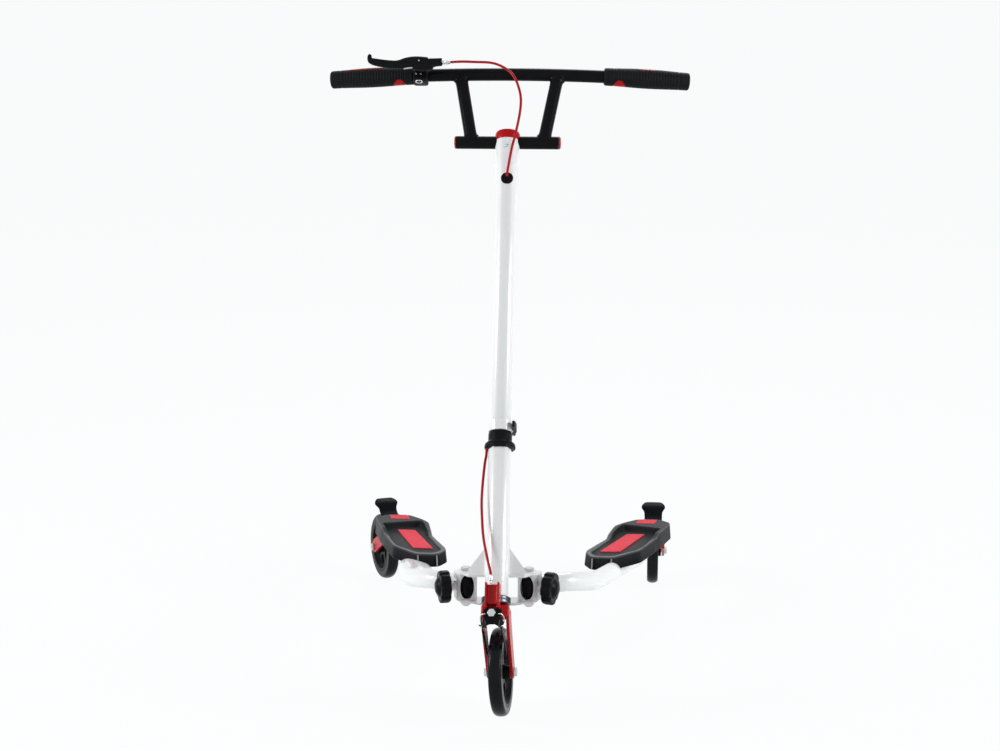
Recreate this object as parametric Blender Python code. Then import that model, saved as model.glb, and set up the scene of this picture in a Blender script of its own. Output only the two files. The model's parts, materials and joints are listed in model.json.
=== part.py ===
"""Three-wheeled stunt scooter: a fork and bar in front, two swinging arms with footboards and caster wheels behind.

Metres, +Z up, the front towards -Y. Right and left are the rider's, so the right side is -X.
"""

from math import atan2, cos, degrees, pi, radians, sin, sqrt

import bmesh
import bpy
import numpy as np
from mathutils import Matrix, Vector

# Fits
GAP = 0.0003
RUN = 0.0010

# Steering axis and the head tube, with heights measured along the axis
LEAN = radians(31.18)
FORK_TURN = radians(-6.53)
HEAD_RADIUS = 0.01905
HEAD_BORE = 0.01655
HEAD_LOW = 0.231
HEAD_HIGH = 0.480
CUP_RADIUS = 0.0237
CUP_LOW = 0.2175
STEERER_RADIUS = 0.0150
STEERER_BORE = 0.0125
STEERER_TOP = 0.660

# Yoke that carries the arms
KINGPIN_X = 0.0513
KINGPIN_Y = 0.1633
KINGPIN_RADIUS = 0.0050
YOKE_UNDER = 0.1775
YOKE_LOW = 0.1815
YOKE_HIGH = 0.2270
YOKE_OVER = 0.2310
HINGE_HEIGHT = (YOKE_LOW + YOKE_HIGH) / 2
LUG_THICK = 0.0020
BUSHING_RADIUS = 0.0115
KNUCKLE_HALF = 0.0168
KNUCKLE_WALL = 0.0050
BOSS_RADIUS = 0.0070
BOSS_OUT = 0.0312
KNOB_RADIUS = 0.02675
KNOB_THICK = 0.0130
STUD_RADIUS = 0.0040

# Arms: outward angle of each at rest, and the tube's path as outward, backward, height, radius
ARM_ANGLE = {-1: radians(14.40), 1: radians(18.03)}
TUBE = 0.0159
TUBE_END = 0.0113
CASTER_REACH = 0.698
ARM_PATH = (
    (0.0030, 0.0165, 0.2000, TUBE),
    (0.0060, 0.0300, 0.2000, TUBE),
    (0.0270, 0.0480, 0.2010, TUBE),
    (0.0480, 0.0680, 0.2020, TUBE),
    (0.0640, 0.1050, 0.1960, TUBE),
    (0.0690, 0.1560, 0.1850, TUBE),
    (0.0510, 0.2860, 0.1590, TUBE),
    (0.0170, 0.3720, 0.1270, TUBE),
    (-0.0080, 0.4370, 0.1044, TUBE),
    (-0.0020, 0.5200, 0.1010, TUBE),
    (0.0030, 0.5860, 0.1005, TUBE),
    (0.0020, 0.6350, 0.1015, TUBE),
    (0.0005, 0.6700, 0.1050, TUBE_END),
    (0.0000, CASTER_REACH - 0.0020, 0.1050, TUBE_END),
)

# Footboard: outward and backward from its own centre
DECK_BACK = 0.5465
DECK_OUT = -0.0025
DECK_TOE = radians(3.66)
DECK_BOTTOM = 0.1180
DECK_RIM = 0.1420
DECK_FLARE = 0.0035
DECK_WALL = 0.0035
DECK_FLOOR = 0.1365
DECK_CEILING = 0.1320
PLATFORM_RISE = 0.0060
PLATFORM_AT = 0.0760
DECK_OUTLINE = (
    (-0.0180, -0.1340),
    (0.0180, -0.1210),
    (0.0443, -0.0555),
    (0.0429, 0.0556),
    (0.0378, 0.1254),
    (0.0090, 0.1397),
    (-0.0282, 0.1246),
    (-0.0442, 0.0896),
    (-0.0507, 0.0622),
    (-0.0400, -0.0013),
    (-0.0419, -0.1076),
)
RAISED_OUTLINE = (
    (0.0431, 0.0420),
    (0.0429, 0.0556),
    (0.0378, 0.1254),
    (0.0090, 0.1397),
    (-0.0282, 0.1246),
    (-0.0442, 0.0896),
    (-0.0507, 0.0622),
    (-0.0400, -0.0013),
)
RECESS_OUTLINE = (
    (-0.0140, -0.1180),
    (0.0135, -0.1080),
    (0.0345, -0.0530),
    (0.0335, PLATFORM_AT),
    (-0.0385, PLATFORM_AT),
    (-0.0400, 0.0610),
    (-0.0310, -0.0040),
    (-0.0330, -0.0985),
)
FRONT_INSERT = ((0.0110, -0.0685), (0.0095, 0.0607), (-0.0208, 0.0479), (-0.0223, -0.0824))
REAR_INSERT = ((0.0115, 0.1060), (0.0085, 0.1315), (-0.0245, 0.1210), (-0.0215, 0.0945))
INSERT_THICK = 0.0022
INSERT_POCKET = 0.0015
RECESS_DRAFT = 0.0025
SADDLES = ((-0.0075, 0.470), (0.0040, 0.610))
SADDLE_HALF = (0.0110, 0.0150)

# Caster: outward turn from the arm's line at rest, and its fork
CASTER_TURN = {-1: radians(8.6), 1: radians(-16.9)}
TRAIL = 0.070
REAR_RADIUS = 0.0631
REAR_HALF = 0.01325
BOSS_LOW = 0.0935
BOSS_HIGH = 0.1165
SWIVEL_BOSS = 0.0120
SWIVEL_PIN = 0.0045
LEG_IN = 0.0172
LEG_OUT = 0.0222
AXLE_RADIUS = 0.0040
FENDER_PIN_AT = (0.0155, 0.1000)
FENDER_PIN = 0.0020
CHEEK_IN = 0.0146
CASTER_LEG = (
    (-0.0080, 0.0880),
    (0.0060, 0.0865),
    (0.0200, 0.0790),
    (0.0450, 0.0650),
    (0.0580, 0.0565),
    (0.0660, 0.0530),
    (0.0740, 0.0530),
    (0.0800, 0.0580),
    (0.0810, 0.0660),
    (0.0770, 0.0730),
    (0.0690, 0.0790),
    (0.0480, 0.0900),
    (0.0280, 0.1000),
    (0.0215, 0.1060),
    (0.0155, 0.1080),
    (0.0100, 0.1050),
    (0.0050, 0.0932),
    (-0.0080, 0.0932),
)

# Front wheel and fork, as backward from the axis and height along it
FRONT_RADIUS = 0.0722
FRONT_HALF = 0.01375
FORK_OFFSET = 0.0660
FRONT_TILT = sin(FORK_TURN) * sin(LEAN)
FRONT_HEIGHT = (FRONT_RADIUS * sqrt(1 - FRONT_TILT**2) + FORK_OFFSET * cos(FORK_TURN) * sin(LEAN)) / cos(LEAN)
CROWN_TOP = CUP_LOW - RUN
CROWN_LOW = 0.1965
CROWN_HALF = 0.0232
CROWN_FRONT = STEERER_RADIUS + 0.0010
FORK_LEG = 0.0050
FORK_TAPER = 0.0013

# Collar, clamp and column
COLLAR_LOW = 0.4824
COLLAR_TOP = 0.5110
COLUMN_LOW = COLLAR_TOP + GAP
COLUMN_RADIUS = 0.0175
COLUMN_BORE = STEERER_RADIUS + GAP
COLUMN_TOP = 1.0550
CROSS_HEIGHT = 1.0380
BAR_HEIGHT = 1.1690
BAR_RADIUS = 0.0111
BAR_HALF = 0.3100
BAR_SWEEP = 0.0245
CROSS_HALF = 0.0885
UPRIGHT_LOW_X = 0.0620
UPRIGHT_HIGH_X = 0.0850
GRIP_FROM = 0.1650
GRIP_RADIUS = 0.01575
GRIP_SWELL = 0.00175
CLAMP_HEIGHT = 0.5200
SKEWER_BACK = 0.0220
LEVER_PIVOT_X = 0.0185
GROMMET_HEIGHT = 0.9630
GROMMET_RADIUS = 0.0105

# Brake at the fork, and its lever at the bar
HANGER_HALF = 0.0115
HANGER_BACK = -0.0280
BOLT_HEIGHT = 0.1945
ARM_SLAB = 0.0029
PAD_AT = (0.0186, 0.1430)
CALIPER_IN = 0.0156
CALIPER_OUT = 0.0180
LEVER_AT = (-0.1385, -0.0335)
LEVER_HEIGHT = 1.1790
CABLE_RADIUS = 0.00225
UPPER_CABLE = (
    (-0.1010, -0.0360, 1.1790),
    (-0.0807, -0.0385, 1.1775),
    (-0.0580, -0.0420, 1.1732),
    (-0.0317, -0.0470, 1.1679),
    (-0.0142, -0.0500, 1.1609),
    (0.0034, -0.0530, 1.1477),
    (0.0142, -0.0560, 1.1300),
    (0.0226, -0.0580, 1.1005),
    (0.0227, -0.0560, 1.0731),
    (0.0166, -0.0500, 1.0383),
    (0.0091, -0.0410, 1.0087),
    (0.0045, -0.0320, 0.9850),
    (0.0020, -0.0265, 0.9715),
    (0.0014, -0.0228, 0.9645),
)
LOWER_CABLE = (
    (-0.0212, -0.0052, 0.4815),
    (-0.0216, -0.0060, 0.4690),
    (-0.0228, -0.0075, 0.4599),
    (-0.0239, -0.0100, 0.4436),
    (-0.0247, -0.0125, 0.4257),
    (-0.0252, -0.0150, 0.4079),
    (-0.0251, -0.0180, 0.3849),
    (-0.0233, -0.0210, 0.3602),
    (-0.0211, -0.0240, 0.3374),
    (-0.0182, -0.0265, 0.3182),
    (-0.0143, -0.0285, 0.3008),
    (-0.0101, -0.0308, 0.2834),
    (-0.0060, -0.0332, 0.2680),
    (-0.0042, -0.0345, 0.2600),
)
FERRULE_AT = (-0.0040, -0.0347)

FINISHES = {
    "silver": ((0.78, 0.79, 0.80), 1.0, 0.28),
    "white": ((0.86, 0.87, 0.88), 0.0, 0.30),
    "red": ((0.50, 0.01, 0.015), 0.0, 0.30),
    "coral": ((0.80, 0.07, 0.10), 0.0, 0.65),
    "black": ((0.012, 0.012, 0.014), 0.0, 0.45),
    "charcoal": ((0.035, 0.037, 0.041), 0.0, 0.55),
    "tyre": ((0.018, 0.019, 0.021), 0.0, 0.35),
    "steel": ((0.60, 0.61, 0.62), 1.0, 0.35),
}


class Shape:
    """Points and faces of one closed surface, moved about before it becomes an object."""

    def __init__(self, points, faces):
        self.points = np.array(points, dtype=float)
        self.faces = [tuple(face) for face in faces]

    def moved(self, x=0.0, y=0.0, z=0.0):
        return Shape(self.points + np.array((x, y, z)), self.faces)

    def turned(self, axis, angle):
        matrix = np.array(Matrix.Rotation(angle, 3, axis))
        return Shape(self.points @ matrix.T, self.faces)

    def on_side(self, side):
        """The shape itself for the left side, and its mirror image for the right."""
        return Shape(self.points * np.array((side, 1, 1)), self.faces)


def box(x, y, z):
    """A block between the two values of each pair."""
    points = [(i, j, k) for i in x for j in y for k in z]
    faces = [(0, 1, 3, 2), (4, 6, 7, 5), (0, 4, 5, 1), (2, 3, 7, 6), (0, 2, 6, 4), (1, 5, 7, 3)]
    return Shape(points, faces)


def loft(loops):
    """A skin over loops of equal count, with the first and the last filled in."""
    count = len(loops[0])
    points = [point for loop in loops for point in loop]
    faces = [tuple(range(count)), tuple(range(len(points) - count, len(points)))]
    for row in range(len(loops) - 1):
        for i in range(count):
            a, b = row * count + i, row * count + (i + 1) % count
            faces.append((a, b, b + count, a + count))
    return Shape(points, faces)


def prism(outline, low, high):
    """An outline in X and Y, raised from one height to the other."""
    return loft([[(x, y, level) for x, y in outline] for level in (low, high)])


def slab(outline, near, far):
    """An outline in Y and Z, made thick along X."""
    return loft([[(level, y, z) for y, z in outline] for level in (near, far)])


def lathe(profile, steps=24, closed=True):
    """A surface of revolution about Z from points of radius and height, closed as a ring or ending on the axis."""
    points, rows = [], []
    for radius, height in profile:
        if radius == 0:
            rows.append([len(points)] * steps)
            points.append((0, 0, height))
            continue
        rows.append(list(range(len(points), len(points) + steps)))
        for i in range(steps):
            angle = 2 * pi * i / steps
            points.append((radius * cos(angle), radius * sin(angle), height))
    pairs = list(zip(rows, rows[1:]))
    if closed:
        pairs.append((rows[-1], rows[0]))
    faces = []
    for low, high in pairs:
        for i in range(steps):
            j = (i + 1) % steps
            face = tuple(dict.fromkeys((low[i], low[j], high[j], high[i])))
            if len(face) > 2:
                faces.append(face)
    return Shape(points, faces)


def rod(radius, low, high, steps=20):
    return lathe([(0, low), (radius, low), (radius, high), (0, high)], steps, closed=False)


def ring(inner, outer, low, high, steps=24):
    return lathe([(inner, low), (outer, low), (outer, high), (inner, high)], steps)


def smooth(points, per=6):
    """A smooth curve through points of any size, sampled a few times between each two."""
    given = [np.array(point, dtype=float) for point in points]
    ends = [2 * given[0] - given[1], *given, 2 * given[-1] - given[-2]]
    found = []
    for p0, p1, p2, p3 in zip(ends, ends[1:], ends[2:], ends[3:]):
        for i in range(per):
            t = i / per
            found.append(
                0.5 * (2 * p1 + (p2 - p0) * t + (2 * p0 - 5 * p1 + 4 * p2 - p3) * t**2 + (3 * p1 - p0 - 3 * p2 + p3) * t**3)
            )
    found.append(given[-1])
    return found


def sweep(path, sides=24, extra=0.0, stretch=0.0):
    """A round bar along points of X, Y, Z and radius, thicker by extra and longer at both ends by stretch."""
    spots = [Vector(point[:3]) for point in path]
    radii = [point[3] + extra for point in path]
    along = [(b - a).normalized() for a, b in zip(spots, spots[1:])]
    spots[0] = spots[0] - along[0] * stretch
    spots[-1] = spots[-1] + along[-1] * stretch
    tangents = [along[0], *[(a + b).normalized() for a, b in zip(along, along[1:])], along[-1]]
    across = tangents[0].orthogonal().normalized()
    loops = []
    for spot, tangent, radius in zip(spots, tangents, radii):
        across = (across - tangent * across.dot(tangent)).normalized()
        other = tangent.cross(across)
        turns = [2 * pi * i / sides for i in range(sides)]
        loops.append([tuple(spot + (across * cos(t) + other * sin(t)) * radius) for t in turns])
    return loft(loops)


def grown(outline, distance):
    """The outline moved outward by a distance, corner by corner."""
    area = sum(x0 * y1 - x1 * y0 for (x0, y0), (x1, y1) in zip(outline, outline[1:] + outline[:1]))
    sign = 1 if area > 0 else -1
    found = []
    for before, here, after in zip(outline[-1:] + outline[:-1], outline, outline[1:] + outline[:1]):
        first = Vector((here[0] - before[0], here[1] - before[1])).normalized()
        second = Vector((after[0] - here[0], after[1] - here[1])).normalized()
        normals = [Vector((edge.y, -edge.x)) * sign for edge in (first, second)]
        mean = (normals[0] + normals[1]).normalized()
        reach = distance / mean.dot(normals[0])
        found.append((here[0] + mean.x * reach, here[1] + mean.y * reach))
    return tuple(found)


def rounded(outline, radius, steps=3):
    """The outline with each corner replaced by a short curve."""
    found = []
    for before, here, after in zip(outline[-1:] + outline[:-1], outline, outline[1:] + outline[:1]):
        corner = Vector(here)
        start, end = Vector(before) - corner, Vector(after) - corner
        cut = min(radius, start.length / 3, end.length / 3)
        start, end = corner + start.normalized() * cut, corner + end.normalized() * cut
        for i in range(steps + 1):
            t = i / steps
            found.append(tuple(start * (1 - t) ** 2 + corner * 2 * t * (1 - t) + end * t**2))
    return tuple(found)


def strip(spine, steps=6):
    """An outline round a line of points with half widths, round at its far end."""
    spots = [Vector(point[:2]) for point in spine]
    sides = {1: [], -1: []}
    for i, (_, _, half) in enumerate(spine):
        along = (spots[min(i + 1, len(spots) - 1)] - spots[max(i - 1, 0)]).normalized()
        for sign, side in sides.items():
            side.append(tuple(spots[i] + Vector((-along.y, along.x)) * half * sign))
    end, half = spots[-1], spine[-1][2]
    along = (spots[-1] - spots[-2]).normalized()
    start = atan2(along.x, -along.y)
    arc = [start - pi * i / steps for i in range(1, steps)]
    cap = [(end.x + half * cos(a), end.y + half * sin(a)) for a in arc]
    return tuple(sides[1] + cap + sides[-1][::-1])


def material(name, finish):
    colour, metallic, roughness = FINISHES[finish]
    made = bpy.data.materials.new(name)
    made.use_nodes = True
    made.diffuse_color = (*colour, 1)
    shader = made.node_tree.nodes["Principled BSDF"]
    shader.inputs["Base Color"].default_value = (*colour, 1)
    shader.inputs["Metallic"].default_value = metallic
    shader.inputs["Roughness"].default_value = roughness
    return made


def placed(name, data, parent):
    made = bpy.data.objects.new(name, data)
    bpy.context.scene.collection.objects.link(made)
    made.parent = parent
    return made


def mesh_of(name, shape, angle=35):
    mesh = bpy.data.meshes.new(name)
    mesh.from_pydata(shape.points.tolist(), [], shape.faces)
    work = bmesh.new()
    work.from_mesh(mesh)
    bmesh.ops.recalc_face_normals(work, faces=work.faces)
    work.to_mesh(mesh)
    work.free()
    mesh.shade_smooth()
    mesh.set_sharp_from_angle(angle=radians(angle))
    return mesh


def solid(name, shape, finish, parent, adds=(), cuts=(), edge=0.0, solver="EXACT"):
    """One object from a shape, with other shapes joined to it, others cut from it, and its edges broken."""
    made = placed(name, mesh_of(name, shape), parent)
    made.data.materials.append(material(name, finish))
    if edge:
        bevel = made.modifiers.new("edge", "BEVEL")
        bevel.width = edge
        bevel.segments = 2
        bevel.limit_method = "ANGLE"
        bevel.angle_limit = radians(40)
    for operation, others in (("UNION", adds), ("DIFFERENCE", cuts)):
        for number, other in enumerate(others):
            title = f"{name}.{operation.lower()}.{number}"
            tool = placed(title, mesh_of(title, other), parent)
            tool.hide_render = True
            tool.display_type = "WIRE"
            boolean = made.modifiers.new(title, "BOOLEAN")
            boolean.operation = operation
            boolean.solver = solver
            boolean.object = tool
    return made


def cable(name, points, finish, parent):
    """A round cable through hand-placed points."""
    curve = bpy.data.curves.new(name, "CURVE")
    curve.dimensions = "3D"
    curve.bevel_depth = CABLE_RADIUS
    curve.bevel_resolution = 2
    curve.use_fill_caps = True
    path = smooth(points, 3)
    spline = curve.splines.new("POLY")
    spline.points.add(len(path) - 1)
    for point, spot in zip(spline.points, path):
        point.co = (*spot, 1)
    made = placed(name, curve, parent)
    made.data.materials.append(material(name, finish))
    return made


def empty(name, parent, location=(0, 0, 0), axis="Z", angle=0.0):
    made = placed(name, None, parent)
    made.matrix_local = Matrix.Translation(location) @ Matrix.Rotation(angle, 4, axis)
    return made


def on_x(shape):
    """A shape about Z, laid along X."""
    return shape.turned("Y", pi / 2)


def on_y(shape):
    """A shape about Z, laid along Y."""
    return shape.turned("X", pi / 2)


def mirrored_outline(half):
    return tuple(half) + tuple((-x, y) for x, y in reversed(half))


def build_frame(frame):
    """The head tube with its yoke and gussets, its bearings, and the pins and bushings of the arms."""
    axis = lambda shape: shape.turned("X", -LEAN)
    upper = mirrored_outline(
        ((0.046, 0.134), (0.0590, 0.1500), (0.0640, 0.1633), (0.0600, 0.1730), (0.0500, 0.1765), (0.0150, 0.1765))
    )
    lower = mirrored_outline(
        ((0.030, 0.1425), (0.0450, 0.1525), (0.0590, 0.1530), (0.0640, 0.1633), (0.0600, 0.1730), (0.0500, 0.1765), (0.0150, 0.1765))
    )
    adds = [
        prism(upper, YOKE_HIGH, YOKE_OVER),
        prism(lower, YOKE_UNDER, YOKE_LOW),
        box((-0.012, 0.012), (0.1425, 0.1760), (YOKE_UNDER + RUN, YOKE_OVER - RUN)),
    ]
    gusset = ((0.0150, 0.3200), (0.0460, 0.2770), (0.0460, 0.2670), (0.0150, 0.2670))
    for side in (-1, 1):
        plate = prism(gusset, -0.0015, 0.0015).turned("X", pi / 2)
        adds.append(axis(plate.on_side(side)))
    cuts = [axis(rod(HEAD_BORE, CUP_LOW, HEAD_HIGH + 0.02, 32))]
    for side in (-1, 1):
        hole = rod(KINGPIN_RADIUS + GAP, YOKE_UNDER - 0.01, YOKE_OVER + 0.01)
        cuts.append(hole.moved(side * KINGPIN_X, KINGPIN_Y))
    tube = axis(rod(HEAD_RADIUS, HEAD_LOW, HEAD_HIGH, 32))
    solid("main_frame", tube, "white", frame, adds, cuts, solver="MANIFOLD")

    spigot = HEAD_BORE - GAP
    inner = STEERER_RADIUS + 2 * GAP
    cup = [(inner, CUP_LOW + GAP), (0.0215, CUP_LOW + GAP), (CUP_RADIUS, CUP_LOW + 0.002), (CUP_RADIUS, HEAD_LOW - 0.002)]
    cup += [(0.0220, HEAD_LOW - GAP), (spigot, HEAD_LOW - GAP), (spigot, HEAD_LOW + 0.012), (inner, HEAD_LOW + 0.012)]
    solid("lower_headset_cup", axis(lathe(cup)), "steel", frame)
    race = [(inner, HEAD_HIGH - 0.012), (spigot, HEAD_HIGH - 0.012), (spigot, HEAD_HIGH + GAP), (HEAD_RADIUS, HEAD_HIGH + GAP)]
    race += [(HEAD_RADIUS, COLLAR_LOW - 2 * GAP), (inner, COLLAR_LOW - 2 * GAP)]
    solid("upper_headset_bearing", axis(lathe(race)), "steel", frame)

    low, high = YOKE_LOW + LUG_THICK + GAP, YOKE_HIGH - LUG_THICK - GAP
    half = [(0.0068, 0.0), (0.0092, 0.0022), (0.0108, 0.0058), (BUSHING_RADIUS, 0.0105)]
    barrel = [(KINGPIN_RADIUS + GAP, low)] + [(r, low + z) for r, z in half]
    barrel += [(r, high - z) for r, z in reversed(half)] + [(KINGPIN_RADIUS + GAP, high)]
    for side, word in ((-1, "right"), (1, "left")):
        spot = (side * KINGPIN_X, KINGPIN_Y)
        head = rod(0.0080, YOKE_OVER + GAP, YOKE_OVER + 0.0050, 6)
        pin = rod(KINGPIN_RADIUS, YOKE_UNDER - 0.0070, YOKE_OVER + 0.0010)
        solid(f"{word}_kingpin", pin.moved(*spot), "steel", frame, [head.moved(*spot)])
        nut = rod(0.0080, YOKE_UNDER - 0.0055, YOKE_UNDER - GAP, 6)
        bore = rod(KINGPIN_RADIUS + GAP, YOKE_UNDER - 0.01, YOKE_UNDER)
        solid(f"{word}_kingpin_nut", nut.moved(*spot), "steel", frame, cuts=[bore.moved(*spot)])
        solid(f"{word}_rubber_bushing", lathe(barrel, 20).moved(*spot), "black", frame)


def build_fork(fork):
    """Fork, headset collar, brake hanger and the parts fixed to them, in the fork's turned frame."""
    spine = [(0.000, 0.2050, 0.0125), (0.010, 0.1880, 0.0125), (0.030, 0.1640, 0.0120), (0.049, 0.1430, 0.0110)]
    spine.append((FORK_OFFSET, FRONT_HEIGHT, 0.0105))
    leg = slab(strip(spine), CROWN_HALF - FORK_LEG, CROWN_HALF)
    drop = (CROWN_TOP - leg.points[:, 2]) / (CROWN_TOP - FRONT_HEIGHT)
    leg.points[:, 0] -= drop * FORK_TAPER
    crown = box((-CROWN_HALF + 0.0006, CROWN_HALF - 0.0006), (-CROWN_FRONT, 0.0130), (CROWN_LOW, CROWN_TOP))
    hole = on_x(rod(AXLE_RADIUS + GAP, -0.04, 0.04)).moved(0, FORK_OFFSET, FRONT_HEIGHT)
    adds = [rod(STEERER_RADIUS, CROWN_TOP - 0.005, STEERER_TOP, 32), leg, leg.on_side(-1)]
    cuts = [rod(STEERER_BORE, CROWN_TOP + 0.010, STEERER_TOP + 0.01), hole]
    solid("fork", crown, "red", fork, adds, cuts, edge=0.0040)

    inner = STEERER_RADIUS + GAP
    flange, waist, lip = 0.0260, 0.01975, 0.0186
    profile = [(inner, COLLAR_LOW), (flange - 0.001, COLLAR_LOW), (flange, COLLAR_LOW + 0.002)]
    profile += [(flange - 0.001, COLLAR_LOW + 0.0075), (waist + 0.0015, COLLAR_LOW + 0.0110), (waist, COLLAR_LOW + 0.0125)]
    profile += [(waist, COLLAR_TOP - 0.0030), (lip, COLLAR_TOP - 0.0025), (lip, COLLAR_TOP), (inner, COLLAR_TOP)]
    solid("headset_collar", lathe(profile), "black", fork)

    outer = CROWN_HALF - FORK_TAPER + GAP
    axle = rod(AXLE_RADIUS, -outer - 0.002, outer + 0.002, 20)
    heads = [rod(0.0075, outer, outer + 0.0045, 6), rod(0.0075, -outer - 0.0045, -outer, 20)]
    at = (0, FORK_OFFSET, FRONT_HEIGHT)
    solid("front_axle", on_x(axle).moved(*at), "steel", fork, [on_x(head).moved(*at) for head in heads])

    top, low, tongue = 0.2447, 0.2035, 0.1830
    back = HANGER_BACK - 0.0030
    plate = box((-HANGER_HALF, HANGER_HALF), (back, HANGER_BACK), (tongue, top))
    walls = [box((side * HANGER_HALF, side * (HANGER_HALF - 0.0030)), (-0.0460, HANGER_BACK - RUN), (low, top)) for side in (-1, 1)]
    foot = box((-HANGER_HALF + RUN, HANGER_HALF - RUN), (HANGER_BACK - RUN, -CROWN_FRONT - GAP), (0.2000, CROWN_TOP - 0.0025))
    bolt_hole = on_y(rod(0.0025 + GAP, 0.02, 0.06)).moved(0, 0, BOLT_HEIGHT)
    solid("brake_hanger", plate, "red", fork, [*walls, foot], [bolt_hole])

    front = back - GAP
    bridge = box((-0.0150, 0.0150), (front - 0.0050, front), (BOLT_HEIGHT - 0.0160, low - GAP))
    solid("caliper_bridge", bridge, "black", fork, cuts=[bolt_hole], edge=0.0008)
    first = front - 0.0050 - GAP
    reach = -(first - 2 * ARM_SLAB - 2 * GAP)
    bolt = on_y(rod(0.0025, -HANGER_BACK - 0.001, reach + 0.002, 16)).moved(0, 0, BOLT_HEIGHT)
    head = on_y(rod(0.0070, reach, reach + 0.0045, 20)).moved(0, 0, BOLT_HEIGHT)
    solid("caliper_bolt", bolt, "steel", fork, [head])

    ferrule = [(0, top + GAP), (0.0018, top + GAP), (0.0018, 0.2490), (0.0031, 0.2500), (0.0031, 0.2590), (0, 0.2590)]
    solid("cable_ferrule", lathe(ferrule, 16, closed=False).moved(*FERRULE_AT), "steel", fork)
    cable("lower_cable", LOWER_CABLE, "red", fork)
    return first


def build_calipers(fork, first):
    """The two brake arms on one bolt, each with its pad beside the rim."""
    pivot = (0, 0, BOLT_HEIGHT)
    for number, (side, word) in enumerate(((-1, "right"), (1, "left"))):
        body = empty(f"{word}_caliper", fork, pivot)
        near = first - number * (ARM_SLAB + GAP)
        far = near - ARM_SLAB
        outer = CALIPER_OUT - GAP
        shoulder = ((0.0010, -0.0065), (0.0050, 0.0060), (outer, 0.0010), (outer, -0.0180), (CALIPER_IN + GAP, -0.0195))
        plate = prism(shoulder, -near + GAP, -far - GAP).turned("X", pi / 2).on_side(side)
        hub = on_y(rod(0.0075, -near, -far, 20))
        sheet = ((-0.0440, 0.1720), (-0.0440, 0.1870), (-0.0345, 0.1870), (0.0080, 0.1530), (0.0245, 0.1470))
        sheet += ((0.0245, 0.1385), (0.0110, 0.1385), (-0.0345, 0.1660))
        leg = slab([(y, z - BOLT_HEIGHT) for y, z in sheet], CALIPER_IN, CALIPER_OUT).on_side(side)
        hole = on_y(rod(0.0025 + GAP, 0.02, 0.06))
        solid(f"{word}_caliper_arm", hub, "black", body, [plate, leg], [hole])
        y, z = PAD_AT
        pad = box((CALIPER_IN - GAP, 0.0128), (y - 0.0045, y + 0.0045), (z - 0.0035 - BOLT_HEIGHT, z + 0.0035 - BOLT_HEIGHT))
        solid(f"{word}_brake_pad", pad.on_side(side), "charcoal", body, edge=0.0006)


def build_wheel(name, parent, radius, half, rim, windows, reach, phase=0.0):
    """A wheel about X: a core with windows between its spokes, and a tyre round it, turned by a phase."""
    hub, web, bed = 0.0110, 0.0040, half - 0.0028
    bore = AXLE_RADIUS + GAP
    core = [(bore, -reach), (hub, -reach), (hub + 0.001, -web), (rim - 0.0075, -web), (rim - 0.0045, -bed), (rim, -bed)]
    core += [(r, -x) for r, x in reversed(core)]
    cuts = []
    middle, span = (hub + rim - 0.0065) / 2, (rim - 0.0065 - hub) / 2
    for i in range(windows):
        window = rod(min(span - 0.0025, pi * middle / windows - 0.0035), -0.02, 0.02, 8).moved(middle)
        cuts.append(on_x(window.turned("Z", 2 * pi * i / windows)).turned("X", phase))
    solid(f"{name}_core", on_x(lathe(core, 24)).turned("X", phase), "black", parent, cuts=cuts)
    seat, depth = rim + GAP, radius - rim
    tyre = [(seat, -bed)]
    for share, width in ((0.40, 1.0), (0.75, 0.80), (0.95, 0.38), (1.0, 0.10)):
        tyre.append((rim + depth * share, -half * width))
    tyre += [(r, -x) for r, x in reversed(tyre)]
    solid(f"{name.replace('_wheel', '')}_tyre", on_x(lathe(tyre, 32)).turned("X", phase), "tyre", parent)


def bar_path(start, end, radius, steps=12):
    """Points of the bowed bar between two distances from its middle."""
    found = []
    for i in range(steps + 1):
        x = start + (end - start) * i / steps
        found.append((x, BAR_SWEEP * (x / BAR_HALF) ** 2, BAR_HEIGHT, radius))
    return found


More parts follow.
